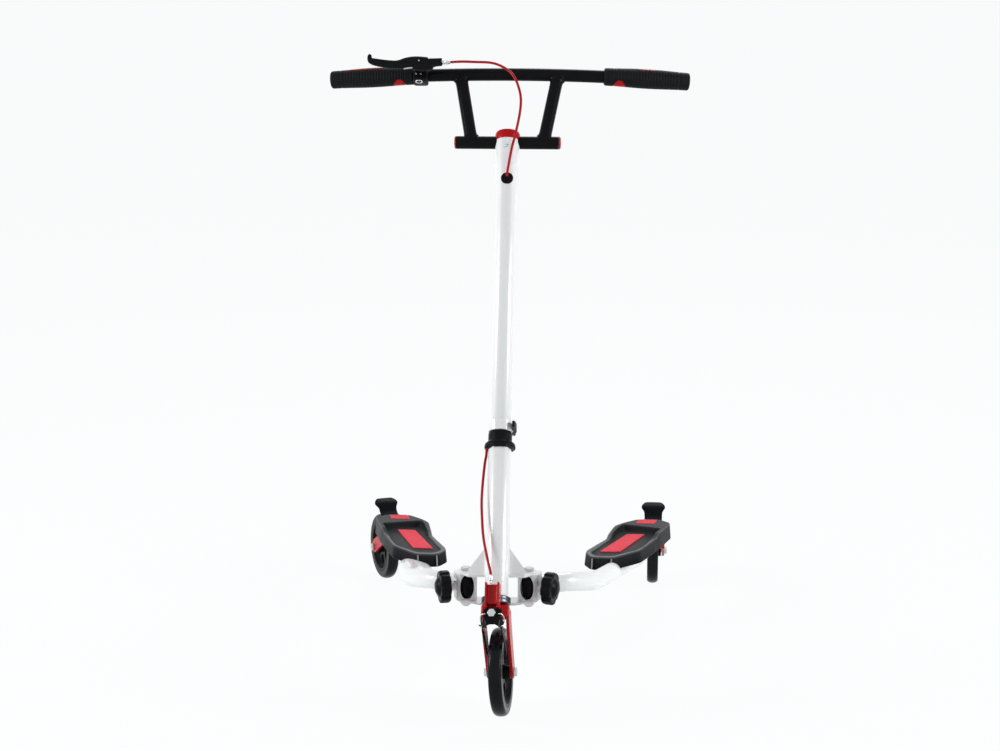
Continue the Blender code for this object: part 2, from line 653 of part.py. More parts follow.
def build_column(column):
    """The sliding upper column with its clamp, the bar, grips, lever bracket and upper cable."""
    profile = [(0, COLUMN_LOW), (COLUMN_RADIUS, COLUMN_LOW), (COLUMN_RADIUS, 0.930), (0.0183, 0.955), (0.0200, 0.990)]
    profile += [(0.0210, 1.020), (0.0210, COLUMN_TOP), (0, COLUMN_TOP)]
    pocket = on_y(rod(GROMMET_RADIUS + GAP, 0.0165, 0.03)).moved(0.0014, 0, GROMMET_HEIGHT)
    cross = on_x(rod(BAR_RADIUS + GAP, -0.05, 0.05, 24)).moved(0, 0, CROSS_HEIGHT)
    cuts = [rod(COLUMN_BORE, COLUMN_LOW - 0.01, 0.985, 32), cross, pocket]
    solid("upper_column", lathe(profile, 32, closed=False), "white", column, cuts=cuts)
    dome = [(0, COLUMN_TOP + GAP), (0.0205, COLUMN_TOP + GAP), (0.0205, 1.0575), (0.0175, 1.0605), (0.0100, 1.0625), (0, 1.0632)]
    solid("column_cap", lathe(dome, closed=False), "red", column)
    plug = [(0, 0.0168), (GROMMET_RADIUS, 0.0168), (GROMMET_RADIUS, 0.0195), (GROMMET_RADIUS - 0.0015, 0.0206), (0, 0.0206)]
    solid("cable_grommet", on_y(lathe(plug, 24, closed=False)).moved(0.0014, 0, GROMMET_HEIGHT), "black", column)

    bar = sweep(bar_path(-BAR_HALF, BAR_HALF, BAR_RADIUS, 10), 16)
    adds = [on_x(rod(BAR_RADIUS, -CROSS_HALF, CROSS_HALF)).moved(0, 0, CROSS_HEIGHT)]
    bow = BAR_SWEEP * (UPRIGHT_HIGH_X / BAR_HALF) ** 2
    for side in (-1, 1):
        foot, top = (side * UPRIGHT_LOW_X, 0, CROSS_HEIGHT, BAR_RADIUS), (side * UPRIGHT_HIGH_X, bow, BAR_HEIGHT, BAR_RADIUS)
        adds.append(sweep([foot, top], 16))
    solid("handlebar", bar, "silver", column, adds)
    for side, word in ((-1, "right"), (1, "left")):
        end = CROSS_HALF + GAP
        button = [(0, end), (BAR_RADIUS, end), (BAR_RADIUS, end + 0.0015), (BAR_RADIUS - 0.0025, end + 0.0030), (0, end + 0.0036)]
        cap = on_x(lathe(button, 24, closed=False)).moved(0, 0, CROSS_HEIGHT)
        solid(f"{word}_crossbar_cap", cap.on_side(side), "red", column)
        path = bar_path(GRIP_FROM, BAR_HALF + 0.0035, GRIP_RADIUS, 6)
        grip = []
        for x, y, z, radius in path:
            share = (x - GRIP_FROM) / (BAR_HALF + 0.0035 - GRIP_FROM)
            swell = GRIP_SWELL * sin(pi * share) ** 2
            grip.append((x, y, z, radius + swell))
        grip = [(*grip[0][:3], GRIP_RADIUS - 0.0015), *grip[1:-1], (*grip[-1][:3], GRIP_RADIUS - 0.0035)]
        inside = sweep(bar_path(GRIP_FROM - 0.01, BAR_HALF + GAP, BAR_RADIUS + 2 * GAP, 3), 12)
        solid(f"{word}_grip", sweep(grip, 16).on_side(side), "charcoal", column, cuts=[inside.on_side(side)])

    hold = sweep(bar_path(-0.1640, -0.1400, 0.0160, 1))
    x, y = LEVER_AT
    body = box((-0.1560, -0.1165), (-0.0420, -0.0100), (LEVER_HEIGHT - 0.0065, LEVER_HEIGHT + 0.0065))
    lug = rod(0.0062, BAR_HEIGHT - 0.0190, BAR_HEIGHT - 0.0100, 6).moved(-0.1520, -0.0020)
    slot = box((-0.1700, x + 0.0100), (-0.0600, y + 0.0095), (LEVER_HEIGHT - 0.0033, LEVER_HEIGHT + 0.0033))
    pin = rod(0.0030 + GAP, LEVER_HEIGHT - 0.02, LEVER_HEIGHT + 0.02, 16).moved(x, y)
    bore = sweep(bar_path(-0.1800, -0.1200, BAR_RADIUS + 2 * GAP, 2))
    solid("lever_bracket", hold, "black", column, [body, lug], [bore, slot, pin])
    barrel = [(0, 0.1162), (0.0040, 0.1162), (0.0040, 0.1060), (0.0032, 0.1015), (0, 0.1015)]
    adjuster = on_x(lathe([(r, -d) for r, d in barrel], 12, closed=False)).moved(0, -0.0360, LEVER_HEIGHT)
    solid("barrel_adjuster", adjuster, "steel", column)
    cable("upper_cable", UPPER_CABLE, "red", column)

    band = ring(COLUMN_RADIUS + GAP, 0.0198, COLUMN_LOW + GAP, 0.5290, 32)
    ears = box((-0.0115, 0.0115), (0.0182, SKEWER_BACK + 0.0055), (CLAMP_HEIGHT - 0.0070, CLAMP_HEIGHT + 0.0070))
    slit = box((-0.0012, 0.0012), (0.0100, 0.0400), (0.5, 0.54))
    rod_hole = on_x(rod(0.0025 + GAP, -0.03, 0.03, 16)).moved(0, SKEWER_BACK, CLAMP_HEIGHT)
    clear = rod(COLUMN_RADIUS + GAP, 0.5, 0.54, 32)
    solid("clamp_band", band, "steel", column, [ears], [slit, rod_hole, clear])
    skewer = on_x(rod(0.0025, -0.0190, LEVER_PIVOT_X, 16)).moved(0, SKEWER_BACK, CLAMP_HEIGHT)
    nut = on_x(rod(0.0060, -0.0190, -0.0115 - GAP, 6)).moved(0, SKEWER_BACK, CLAMP_HEIGHT)
    cross_pin = rod(0.0025, CLAMP_HEIGHT - 0.0062, CLAMP_HEIGHT + 0.0062, 16).moved(LEVER_PIVOT_X, SKEWER_BACK)
    solid("clamp_skewer", skewer, "steel", column, [nut, cross_pin])


def build_levers(column):
    """The quick-release lever of the clamp, and the brake lever."""
    body = empty("clamp_lever_pivot", column, (LEVER_PIVOT_X, SKEWER_BACK, CLAMP_HEIGHT))
    spine = [(0.0060, -0.0150, 0.0024), (0.0062, -0.0260, 0.0022), (0.0035, -0.0400, 0.0024)]
    spine = [(0.0010, 0.0000, 0.0030), (0.0040, -0.0080, 0.0026), *spine]
    cam = rod(0.0062, -0.0055, 0.0055, 20)
    blade = prism(strip(spine), -0.0055, 0.0055)
    cuts = [rod(0.0025 + GAP, -0.01, 0.01, 16), rod(0.0092, -0.0025 - 2 * GAP, 0.0025 + 2 * GAP, 20)]
    solid("clamp_lever", cam, "black", body, [blade], cuts)

    x, y = LEVER_AT
    body = empty("brake_lever_pivot", column, (x, y, LEVER_HEIGHT))
    spine = [(0.0040, 0.0000, 0.0055), (-0.0100, -0.0030, 0.0050), (-0.0300, -0.0070, 0.0042), (-0.0600, -0.0085, 0.0040)]
    spine += [(-0.0850, -0.0080, 0.0042), (-0.1000, -0.0105, 0.0044), (-0.1060, -0.0125, 0.0044)]
    blade = prism(strip([tuple(p) for p in smooth(spine, 2)]), -0.0030, 0.0030)
    pivot = rod(0.0030, -0.0085, 0.0085, 16)
    solid("brake_lever", blade, "black", body, [pivot])


def knob_shape():
    """A lobed hand knob about Z with its threaded stud, from a radius that rises and falls round the rim."""
    lobes, depth, per = 8, 0.0022, 4
    start = BOSS_OUT + GAP
    levels = [(start, 0.78), (start + 0.0015, 0.97), (start + 0.0040, 1.0), (start + KNOB_THICK - 0.003, 1.0)]
    levels += [(start + KNOB_THICK, 0.94), (start + KNOB_THICK + 0.0008, 0.70), (start + KNOB_THICK + 0.0045, 0.30)]
    loops = []
    for height, share in levels:
        loop = []
        for i in range(lobes * per):
            angle = 2 * pi * i / (lobes * per)
            wave = depth * max(0.0, -cos(lobes * angle)) * (1 if share > 0.9 else 0)
            radius = KNOB_RADIUS * share - wave
            loop.append((radius * cos(angle), radius * sin(angle), height))
        loops.append(loop)
    return loft(loops)


def deck_hull(outline, low, high, flare=0.0):
    corners = rounded(outline, 0.006)
    wide = grown(corners, flare)
    return loft([[(x, y, low) for x, y in wide], [(x, y, high - 0.0015) for x, y in corners], [(x, y, high) for x, y in grown(corners, -0.0015)]])


def on_arm(shape, side):
    """From the footboard's own axes to the arm's."""
    return shape.turned("Z", -DECK_TOE).moved(DECK_OUT, DECK_BACK).on_side(side)


def build_arm(arm, side, word):
    """A swinging arm with its knuckle, footboard and inserts."""
    low, high, half = YOKE_LOW + GAP, YOKE_HIGH - GAP, KNUCKLE_HALF
    outline = ((-half, 0.0175), (half, 0.0175), (half, -0.0070), (0.0105, -0.0125), (-0.0105, -0.0125), (-half, -0.0070))
    knuckle = prism(outline, low, high)
    path = [tuple(point) for point in smooth(ARM_PATH, 1)]
    boss = on_x(rod(BOSS_RADIUS, half - 0.001, BOSS_OUT, 24)).moved(0, 0, HINGE_HEIGHT)
    swivel = rod(SWIVEL_BOSS, BOSS_LOW, BOSS_HIGH, 32).moved(0, CASTER_REACH)
    adds = [sweep(path, 16), boss, swivel]
    for x, y in SADDLES:
        wide, long = SADDLE_HALF
        adds.append(box((x - wide, x + wide), (y - long, y + long), (0.1010, DECK_CEILING - GAP)))
    inner = half - KNUCKLE_WALL
    cavity = box((-inner, inner), (-0.03, 0.0125), (YOKE_LOW + LUG_THICK, YOKE_HIGH - LUG_THICK))
    pin_hole = rod(KINGPIN_RADIUS + GAP, low - 0.01, high + 0.01)
    stud_hole = on_x(rod(STUD_RADIUS + GAP, 0.005, 0.05, 20)).moved(0, 0, HINGE_HEIGHT)
    swivel_hole = rod(SWIVEL_PIN + GAP, BOSS_LOW - 0.01, BOSS_HIGH + 0.01, 20).moved(0, CASTER_REACH)
    cuts = [cavity, pin_hole, stud_hole, swivel_hole]
    solid(f"{word}_arm", knuckle.on_side(side), "white", arm, [s.on_side(side) for s in adds], [s.on_side(side) for s in cuts])

    top = DECK_RIM + PLATFORM_RISE
    hull = deck_hull(DECK_OUTLINE, DECK_BOTTOM, DECK_RIM, DECK_FLARE)
    raised = deck_hull(RAISED_OUTLINE, DECK_RIM - 0.012, top, 0.0)
    floor = rounded(RECESS_OUTLINE, 0.004)
    recess = loft([[(x, y, DECK_FLOOR) for x, y in floor], [(x, y, top + 0.002) for x, y in grown(floor, RECESS_DRAFT)]])
    pocket = prism(grown(REAR_INSERT, GAP), top - INSERT_POCKET, top + 0.01)
    under = prism(grown(rounded(DECK_OUTLINE, 0.006), -DECK_WALL), DECK_BOTTOM - 0.01, DECK_CEILING)
    arch = sweep(path, 12, extra=2 * RUN)
    cuts = [on_arm(cut, side) for cut in (recess, pocket, under)] + [arch.on_side(side)]
    solid(f"{word}_deck", on_arm(hull, side), "charcoal", arm, [on_arm(raised, side)], cuts)
    front = prism(FRONT_INSERT, DECK_FLOOR + GAP, DECK_FLOOR + GAP + INSERT_THICK)
    solid(f"{word}_front_insert", on_arm(front, side), "coral", arm, edge=0.0007)
    seat = top - INSERT_POCKET + GAP
    rear = prism(REAR_INSERT, seat, seat + INSERT_THICK)
    solid(f"{word}_rear_insert", on_arm(rear, side), "coral", arm, edge=0.0007)

    body = empty(f"{word}_knob_pivot", arm, (0, 0, HINGE_HEIGHT))
    stud = rod(STUD_RADIUS, BUSHING_RADIUS + GAP, BOSS_OUT + 0.003, 20)
    solid(f"{word}_tension_knob", on_x(knob_shape()).on_side(side), "black", body, [on_x(stud).on_side(side)])


def build_caster(arm, side, word):
    """A trailing caster: fork, axle, wheel and the fender brake above it."""
    caster = empty(f"{word}_caster", arm, (0, CASTER_REACH, 0), "Z", -side * CASTER_TURN[side])
    leg = slab(CASTER_LEG, LEG_IN, LEG_OUT)
    yoke = box((-LEG_OUT + RUN, LEG_OUT - RUN), (-0.0080, 0.0085), (0.0880, BOSS_LOW - GAP))
    pin = rod(SWIVEL_PIN, 0.0890, BOSS_HIGH + 0.0015, 20)
    back, high = FENDER_PIN_AT
    hinge = on_x(rod(FENDER_PIN, -LEG_OUT + RUN, LEG_OUT - RUN, 16)).moved(0, back, high)
    hole = on_x(rod(AXLE_RADIUS + GAP, -0.04, 0.04, 20)).moved(0, TRAIL, REAR_RADIUS)
    solid(f"{word}_caster_fork", yoke, "red", caster, [leg, leg.on_side(-1), pin, hinge], [hole])
    outer = LEG_OUT + GAP
    heads = [rod(0.0072, outer, outer + 0.0045, 6), rod(0.0072, -outer - 0.0045, -outer, 20)]
    at = (0, TRAIL, REAR_RADIUS)
    axle = on_x(rod(AXLE_RADIUS, -outer - 0.002, outer + 0.002, 20)).moved(*at)
    solid(f"{word}_rear_axle", axle.on_side(side), "steel", caster, [on_x(head).moved(*at).on_side(side) for head in heads])

    wheel = empty(f"{word}_rear_hub", caster, at)
    build_wheel(f"{word}_rear_wheel", wheel, REAR_RADIUS, REAR_HALF, 0.0480, 6, LEG_IN - 0.0012)

    fender = empty(f"{word}_fender", caster, (0, back, high))
    cheek = ((0.0100, 0.0940), (0.0210, 0.0940), (0.0235, 0.1080), (0.0330, 0.1290), (0.0300, 0.1360), (0.0125, 0.1255), (0.0085, 0.1200))
    side_plate = slab([(y - back, z - high) for y, z in cheek], CHEEK_IN, LEG_IN - GAP)
    wide = LEG_IN - GAP
    top = ((0.0115, 0.1215), (0.0300, 0.1325), (0.0430, 0.1400), (0.0500, 0.1490), (0.0700, 0.1560))
    top += ((0.0705, 0.1520), (0.0520, 0.1452), (0.0460, 0.1370), (0.0320, 0.1275), (0.0120, 0.1195))
    plate = slab([(y - back, z - high) for y, z in top], -wide, wide)
    pad = rounded(((-0.0205, 0.0480), (0.0205, 0.0480), (0.0205, 0.0700), (0.0150, 0.0730), (-0.0150, 0.0730), (-0.0205, 0.0700)), 0.003)
    tilt = atan2(0.0070, 0.0200)
    press = prism([(x, y - 0.060) for x, y in pad], -0.0020, 0.0025).turned("X", tilt).moved(0, 0.060 - back, 0.1535 - high)
    bore = on_x(rod(FENDER_PIN + GAP, -0.03, 0.03, 16))
    solid(f"{word}_fender_brake", plate, "charcoal", fender, [side_plate, side_plate.on_side(-1), press], [bore])


def main():
    for old in list(bpy.data.objects):
        bpy.data.objects.remove(old, do_unlink=True)
    root = empty("scooter", None)
    frame = empty("frame", root)
    build_frame(frame)
    steering = empty("steering", root, axis="X", angle=-LEAN)
    fork = empty("fork_body", steering, angle=FORK_TURN)
    first = build_fork(fork)
    build_calipers(fork, first)
    wheel = empty("front_hub", fork, (0, FORK_OFFSET, FRONT_HEIGHT))
    build_wheel("front_wheel", wheel, FRONT_RADIUS, FRONT_HALF, 0.0575, 6, CROWN_HALF - FORK_LEG - FORK_TAPER - 0.0010, LEAN)
    column = empty("column", fork, angle=-FORK_TURN)
    build_column(column)
    build_levers(column)
    for side, word in ((-1, "right"), (1, "left")):
        arm = empty(f"{word}_arm_pivot", frame, (side * KINGPIN_X, KINGPIN_Y, 0), "Z", -side * ARM_ANGLE[side])
        build_arm(arm, side, word)
        build_caster(arm, side, word)

    bpy.context.view_layer.update()
    graph = bpy.context.evaluated_depsgraph_get()
    corners = []
    for made in bpy.context.scene.objects:
        if made.type in ("MESH", "CURVE") and not made.hide_render:
            shown = made.evaluated_get(graph)
            corners += [shown.matrix_world @ vertex.co for vertex in shown.to_mesh().vertices]
    spots = np.array(corners)
    low, high = spots.min(axis=0), spots.max(axis=0)
    root.location = (-(low[0] + high[0]) / 2, -(low[1] + high[1]) / 2, -low[2])


main()
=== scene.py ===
"""Looks of the three-wheeled scooter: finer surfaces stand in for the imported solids.

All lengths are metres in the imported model's own frame: +Z up, the front wheel towards -Y and the rider's left
towards +X.
"""

import json
import logging
from dataclasses import dataclass
from enum import Enum
from math import cos, pi, radians, sin
from typing import Any, Callable, Optional, Sequence

import bmesh
import bpy
import numpy as np
from mathutils import Matrix, Vector

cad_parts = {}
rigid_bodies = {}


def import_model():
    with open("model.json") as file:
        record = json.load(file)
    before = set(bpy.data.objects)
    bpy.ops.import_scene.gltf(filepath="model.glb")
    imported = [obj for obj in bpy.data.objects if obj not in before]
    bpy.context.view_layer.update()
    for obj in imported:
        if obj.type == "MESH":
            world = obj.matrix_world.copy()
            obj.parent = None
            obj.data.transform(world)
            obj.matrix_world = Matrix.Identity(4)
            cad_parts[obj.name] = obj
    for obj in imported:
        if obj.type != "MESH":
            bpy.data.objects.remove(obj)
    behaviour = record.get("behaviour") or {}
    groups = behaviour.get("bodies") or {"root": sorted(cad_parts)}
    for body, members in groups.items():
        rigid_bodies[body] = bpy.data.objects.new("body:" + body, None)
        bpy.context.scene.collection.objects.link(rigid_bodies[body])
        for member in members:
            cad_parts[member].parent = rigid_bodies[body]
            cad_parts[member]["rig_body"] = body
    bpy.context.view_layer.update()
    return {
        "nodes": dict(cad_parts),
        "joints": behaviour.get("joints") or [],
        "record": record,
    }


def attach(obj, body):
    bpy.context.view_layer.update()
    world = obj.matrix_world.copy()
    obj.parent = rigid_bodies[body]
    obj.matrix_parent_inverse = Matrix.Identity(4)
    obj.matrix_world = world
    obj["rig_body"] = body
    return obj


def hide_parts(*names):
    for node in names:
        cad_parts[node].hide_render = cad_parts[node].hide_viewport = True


for leftover in list(bpy.data.objects):
    bpy.data.objects.remove(leftover)
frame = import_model()

log = logging.getLogger("scooter")
Colour = tuple[float, float, float]
Point = tuple[float, float, float]
Rows = tuple[tuple[float, ...], ...]
Relief = Callable[[np.ndarray, np.ndarray], np.ndarray]

# Sizes that the construction also has
LEAN = radians(31.18)
FORK_TURN = radians(-6.53)
JOINT_HEIGHT = 0.35
UP_COLUMN = Vector((0.0, sin(LEAN), cos(LEAN)))
HEAD_RADIUS = 0.01905
HEAD_LOW = 0.231
HEAD_HIGH = 0.480
CUP_LOW = 0.2175
STEERER_RADIUS = 0.0150
YOKE_LOW = 0.1815
YOKE_HIGH = 0.2270
YOKE_MIDDLE = (YOKE_LOW + YOKE_HIGH) / 2
KINGPIN_RADIUS = 0.0050
BOLT_HEIGHT = 0.1945

# Gaps between surfaces, the last one between the steerer and what turns on it
HAIR = 0.0001
SKIN = 0.0002
CLEARANCE = 0.0003
PLAY = 0.0006

# Samples between two points of a route, and angles above which an edge is sharp
ROUTE_STEPS = 8
SHARP_GRID = radians(40)
SHARP_SOLID = radians(33)

# Point attribute that says how much painted highlight a piece takes on its rims and edges
PAINTED_SHEEN = "rubbed"
SEEN_RAYS = ("Is Camera Ray", "Is Glossy Ray", "Is Transmission Ray")


class Side(Enum):
    """The rider's two sides, valued by the sign of X."""

    RIGHT = -1
    LEFT = 1

    @property
    def word(self) -> str:
        """The side's word in node names."""
        return self.name.lower()


def joint(name: str) -> dict[str, Any]:
    """A joint of the record.

    Args:
        name: Name of the joint.

    Returns:
        The joint's entry, with its place and axis.
    """
    return next(entry for entry in frame["joints"] if entry["name"] == name)


def body_of(node: str) -> str:
    """The body that a node belongs to.

    Args:
        node: Name of the node.

    Returns:
        Name of the body.
    """
    return frame["nodes"][node]["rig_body"]


def slot_of(node: str) -> str:
    """The record's material slot of a node.

    Args:
        node: Name of the node.

    Returns:
        Name of the slot.
    """
    return next(part["material_slot"] for part in frame["record"]["subparts"] if part["node"] == node)


GROUND = Vector(joint("steering")["pos_m"]) - UP_COLUMN * JOINT_HEIGHT
COLUMN_FRAME = Matrix.Translation(GROUND) @ Matrix.Rotation(-LEAN, 4, "X")
FORK_FRAME = COLUMN_FRAME @ Matrix.Rotation(FORK_TURN, 4, "Z")
ALONG_X = Matrix.Rotation(pi / 2, 4, "Y")
ALONG_Y = Matrix.Rotation(pi / 2, 4, "X")


def column_at(x: float, y: float, z: float) -> Matrix:
    """From axes at a place of the column to the model's.

    Args:
        x: Place across.
        y: Place backwards.
        z: Height.

    Returns:
        The matrix.
    """
    return COLUMN_FRAME @ Matrix.Translation((x, y, z))


def mirrored(side: Side) -> Matrix:
    """What takes a shape drawn for the left to a side.

    Args:
        side: The rider's side.

    Returns:
        The matrix.
    """
    return Matrix.Diagonal((side.value, 1, 1, 1))


# Shader nodes


class Wire:
    """A shader output that takes part in Python arithmetic."""

    def __init__(self, tree: "Tree", socket: Any) -> None:
        """Keeps the output and the tree that it is in.

        Args:
            tree: The tree under construction.
            socket: The node's output.
        """
        self.tree = tree
        self.socket = socket

    def math(self, operation: str, first: Any, second: Any) -> "Wire":
        """One Math node.

        Args:
            operation: Blender's name of the operation.
            first: Wire or number.
            second: Wire or number.

        Returns:
            The node's output.
        """
        return self.tree.add("ShaderNodeMath", {"operation": operation}, {0: first, 1: second})

    def __add__(self, other: Any) -> "Wire":
        """Sum."""
        return self.math("ADD", self, other)

    def __radd__(self, other: Any) -> "Wire":
        """Sum with the number first."""
        return self.math("ADD", other, self)

    def __sub__(self, other: Any) -> "Wire":
        """Difference."""
        return self.math("SUBTRACT", self, other)

    def __rsub__(self, other: Any) -> "Wire":
        """Difference with the number first."""
        return self.math("SUBTRACT", other, self)

    def __mul__(self, other: Any) -> "Wire":
        """Product."""
        return self.math("MULTIPLY", self, other)

    def __rmul__(self, other: Any) -> "Wire":
        """Product with the number first."""
        return self.math("MULTIPLY", other, self)

    def __gt__(self, other: Any) -> "Wire":
        """One where this is the larger, and else nought."""
        return self.math("GREATER_THAN", self, other)

    def most(self, other: Any) -> "Wire":
        """The larger of two."""
        return self.math("MAXIMUM", self, other)


class Tree:
    """A node tree under construction."""

    def __init__(self, nodes: Any) -> None:
        """Keeps the tree.

        Args:
            nodes: Blender's node tree.
        """
        self.nodes = nodes

    def add(self, kind: str, settings: dict[str, Any], inputs: dict[Any, Any], output: Any = 0) -> Wire:
        """Adds any node.

        Args:
            kind: Blender's type of the node.
            settings: Properties that are set on it first.
            inputs: Wires or values for its inputs, by name or number.
            output: Name or number of the output to hand back.

        Returns:
            That output.
        """
        made = self.nodes.nodes.new(kind)
        for key, value in settings.items():
            setattr(made, key, value)
        for key, value in inputs.items():
            self.put(made.inputs[key], value)
        return Wire(self, made.outputs[output])

    def put(self, socket: Any, value: Any) -> None:
        """Links a wire to an input, or sets the input to a value.

        Args:
            socket: The input.
            value: Wire or value.
        """
        if isinstance(value, Wire):
            self.nodes.links.new(value.socket, socket)
        else:
            socket.default_value = value

    def path(self, *kinds: str) -> Wire:
        """One where the ray is of any of the kinds, and else nought.

        Args:
            kinds: Outputs of the Light Path node.

        Returns:
            The wire.
        """
        found = [self.add("ShaderNodeLightPath", {}, {}, kind) for kind in kinds]
        whole = found[0]
        for other in found[1:]:
            whole = whole.most(other)
        return whole


class Paint(Tree):
    """One material under construction."""

    def __init__(self, name: str) -> None:
        """Starts a material with a Principled surface.

        Args:
            name: Name of the material.
        """
        self.material = bpy.data.materials.new(name)
        self.material.use_nodes = True
        super().__init__(self.material.node_tree)
        self.shader = self.nodes.nodes["Principled BSDF"]

    def feed(self, name: str, value: Any) -> None:
        """Sets or links one input of the surface.

        Args:
            name: Name of the input.
            value: Wire or value.
        """
        self.put(self.shader.inputs[name], value)

    def noise(self, scale: float, detail: float = 3.0, stretch: Point = (1.0, 1.0, 1.0)) -> Wire:
        """Cloudy values between nought and one, in the model's own coordinates.

        Args:
            scale: Clouds per metre.
            detail: Octaves.
            stretch: How much finer the clouds are along each axis.

        Returns:
            The noise.
        """
        place = self.add("ShaderNodeTexCoord", {}, {}, "Object")
        scaled = self.add("ShaderNodeVectorMath", {"operation": "MULTIPLY"}, {0: place, 1: stretch})
        return self.add("ShaderNodeTexNoise", {}, {"Vector": scaled, "Scale": scale, "Detail": detail})

    def pebbles(self, scale: float) -> Wire:
        """Distance to the nearest of many scattered points.

        Args:
            scale: Points per metre.

        Returns:
            The distance.
        """
        place = self.add("ShaderNodeTexCoord", {}, {}, "Object")
        return self.add("ShaderNodeTexVoronoi", {}, {"Vector": place, "Scale": scale})

    def blend(self, share: Wire, first: Any, second: Colour) -> Wire:
        """A colour between two, from the Mix node's colour inputs 6 and 7 to its colour output 2.

        Args:
            share: Nought for the first colour, one for the second.
            first: Linear colour, or a wire that carries one.
            second: Linear colour.

        Returns:
            The mixed colour.
        """
        start = first if isinstance(first, Wire) else (*first, 1)
        return self.add("ShaderNodeMix", {"data_type": "RGBA"}, {0: share, 6: start, 7: (*second, 1)}, 2)

    def bump(self, height: Wire, distance: float) -> None:
        """Gives the surface a relief.

        Args:
            height: The relief, from nought to one.
            distance: Its depth in metres.
        """
        self.feed("Normal", self.add("ShaderNodeBump", {}, {"Height": height, "Distance": distance}))


@dataclass(frozen=True)
class Finish:
    """A finish of the object, made of noise that varies colour, gloss and relief.

    Attributes:
        colour: Linear base colour.
        second: Linear colour of the clouds in it.
        metallic: Share of metal.
        roughness: Middle roughness.
        spread: How far the roughness varies.
        clouds: Clouds per metre.
        grain: Relief per metre.
        depth: Depth of the relief in metres.
        coat: Weight of the clear coat.
        pebbled: Whether the relief is pebbled and not cloudy.
        brushed: How much finer the relief is along each axis.
        shine: Level of the plain reflection, half for ordinary plastic.
        rubbed: Linear colour of a painted highlight, shown where a piece's own attribute asks for it.
    """

    colour: Colour
    second: Colour
    metallic: float = 0.0
    roughness: float = 0.4
    spread: float = 0.1
    clouds: float = 40.0
    grain: float = 1500.0
    depth: float = 0.00002
    coat: float = 0.0
    pebbled: bool = False
    brushed: Point = (1.0, 1.0, 1.0)
    shine: float = 0.5
    rubbed: Optional[Colour] = None

    def material(self, name: str) -> bpy.types.Material:
        """The finish as a material, made once.

        Args:
            name: Name of the material.

        Returns:
            The material.
        """
        known = bpy.data.materials.get(name)
        if known:
            return known
        paint = Paint(name)
        base = paint.blend(paint.noise(self.clouds), self.colour, self.second)
        # Painted highlight: the piece's attribute mixes the pale highlight colour into the base colour
        if self.rubbed:
            share = paint.add("ShaderNodeAttribute", {"attribute_name": PAINTED_SHEEN}, {}, "Fac")
            base = paint.blend(share, base, self.rubbed)
        paint.feed("Base Color", base)
        wear = paint.noise(self.clouds * 5, 5.0, self.brushed)
        paint.feed("Roughness", self.roughness + self.spread * (wear - 0.5))
        paint.feed("Metallic", self.metallic)
        paint.feed("Coat Weight", self.coat)
        paint.feed("Coat Roughness", 0.05)
        paint.feed("Specular IOR Level", self.shine)
        relief = paint.pebbles(self.grain) if self.pebbled else paint.noise(self.grain, 4.0, self.brushed)
        paint.bump(relief, self.depth)
        return paint.material


FINISHES: dict[str, Finish] = {
    "white": Finish(
        (0.89, 0.90, 0.91), (0.86, 0.875, 0.89),
        roughness=0.30, clouds=25, grain=900, depth=0.00001, coat=0.5,
    ),
    "silver": Finish(
        (0.66, 0.67, 0.68), (0.58, 0.59, 0.60),
        metallic=1.0, roughness=0.30, clouds=60, grain=2500, depth=0.00001,
    ),
    "gunmetal": Finish(
        (0.07, 0.075, 0.085), (0.13, 0.135, 0.15), metallic=1.0, roughness=0.30, clouds=80, grain=2500
    ),
    "bearing_steel": Finish(
        (0.45, 0.46, 0.47), (0.36, 0.37, 0.38), metallic=1.0, roughness=0.28, clouds=90, brushed=(1, 1, 12)
    ),
    "bolt_steel": Finish(
        (0.62, 0.63, 0.64), (0.46, 0.47, 0.48), metallic=1.0, roughness=0.22, clouds=120, grain=1800
    ),
    "red_paint": Finish(
        (0.50, 0.006, 0.010), (0.41, 0.004, 0.008),
        roughness=0.26, grain=1200, depth=0.00001, coat=0.12, shine=0.12,
    ),
    "black_metal": Finish(
        (0.004, 0.004, 0.005), (0.008, 0.008, 0.009),
        roughness=0.20, clouds=90, grain=2200, depth=0.00001, shine=0.05,
    ),
    "black_plastic": Finish(
        (0.005, 0.005, 0.006), (0.010, 0.010, 0.012), roughness=0.30, clouds=70, grain=2600, shine=0.05
    ),
    "red_plastic": Finish((0.50, 0.007, 0.009), (0.42, 0.005, 0.007), roughness=0.25, clouds=60, shine=0.12),
    "red_sleeve": Finish((0.44, 0.010, 0.022), (0.36, 0.008, 0.016), roughness=0.32, clouds=90, shine=0.12),
    "black_rubber": Finish(
        (0.003, 0.003, 0.004), (0.007, 0.007, 0.008), roughness=0.42, clouds=80, grain=1800, shine=0.06
    ),
    "grip_rubber": Finish(
        (0.007, 0.0075, 0.009), (0.012, 0.013, 0.015),
        roughness=0.52, clouds=90, depth=0.00010, pebbled=True, shine=0.06,
    ),
    # Near-black plastic whose pale extra colour is a painted highlight on the footboard's rims, edges and
    # corner ribs
    "charcoal_plastic": Finish(
        (0.004, 0.004, 0.006), (0.007, 0.008, 0.011),
        roughness=0.36, clouds=60, depth=0.00005, pebbled=True, shine=0.03, rubbed=(0.24, 0.25, 0.26),
    ),
    "coral_rubber": Finish(
        (0.86, 0.075, 0.105), (0.74, 0.050, 0.078),
        roughness=0.60, clouds=130, grain=700, depth=0.0002, pebbled=True, shine=0.3,
    ),
    "tyre": Finish(
        (0.005, 0.0055, 0.007), (0.011, 0.012, 0.014),
        roughness=0.22, clouds=50, grain=1400, coat=0.05, shine=0.06,
    ),
}


# Surfaces


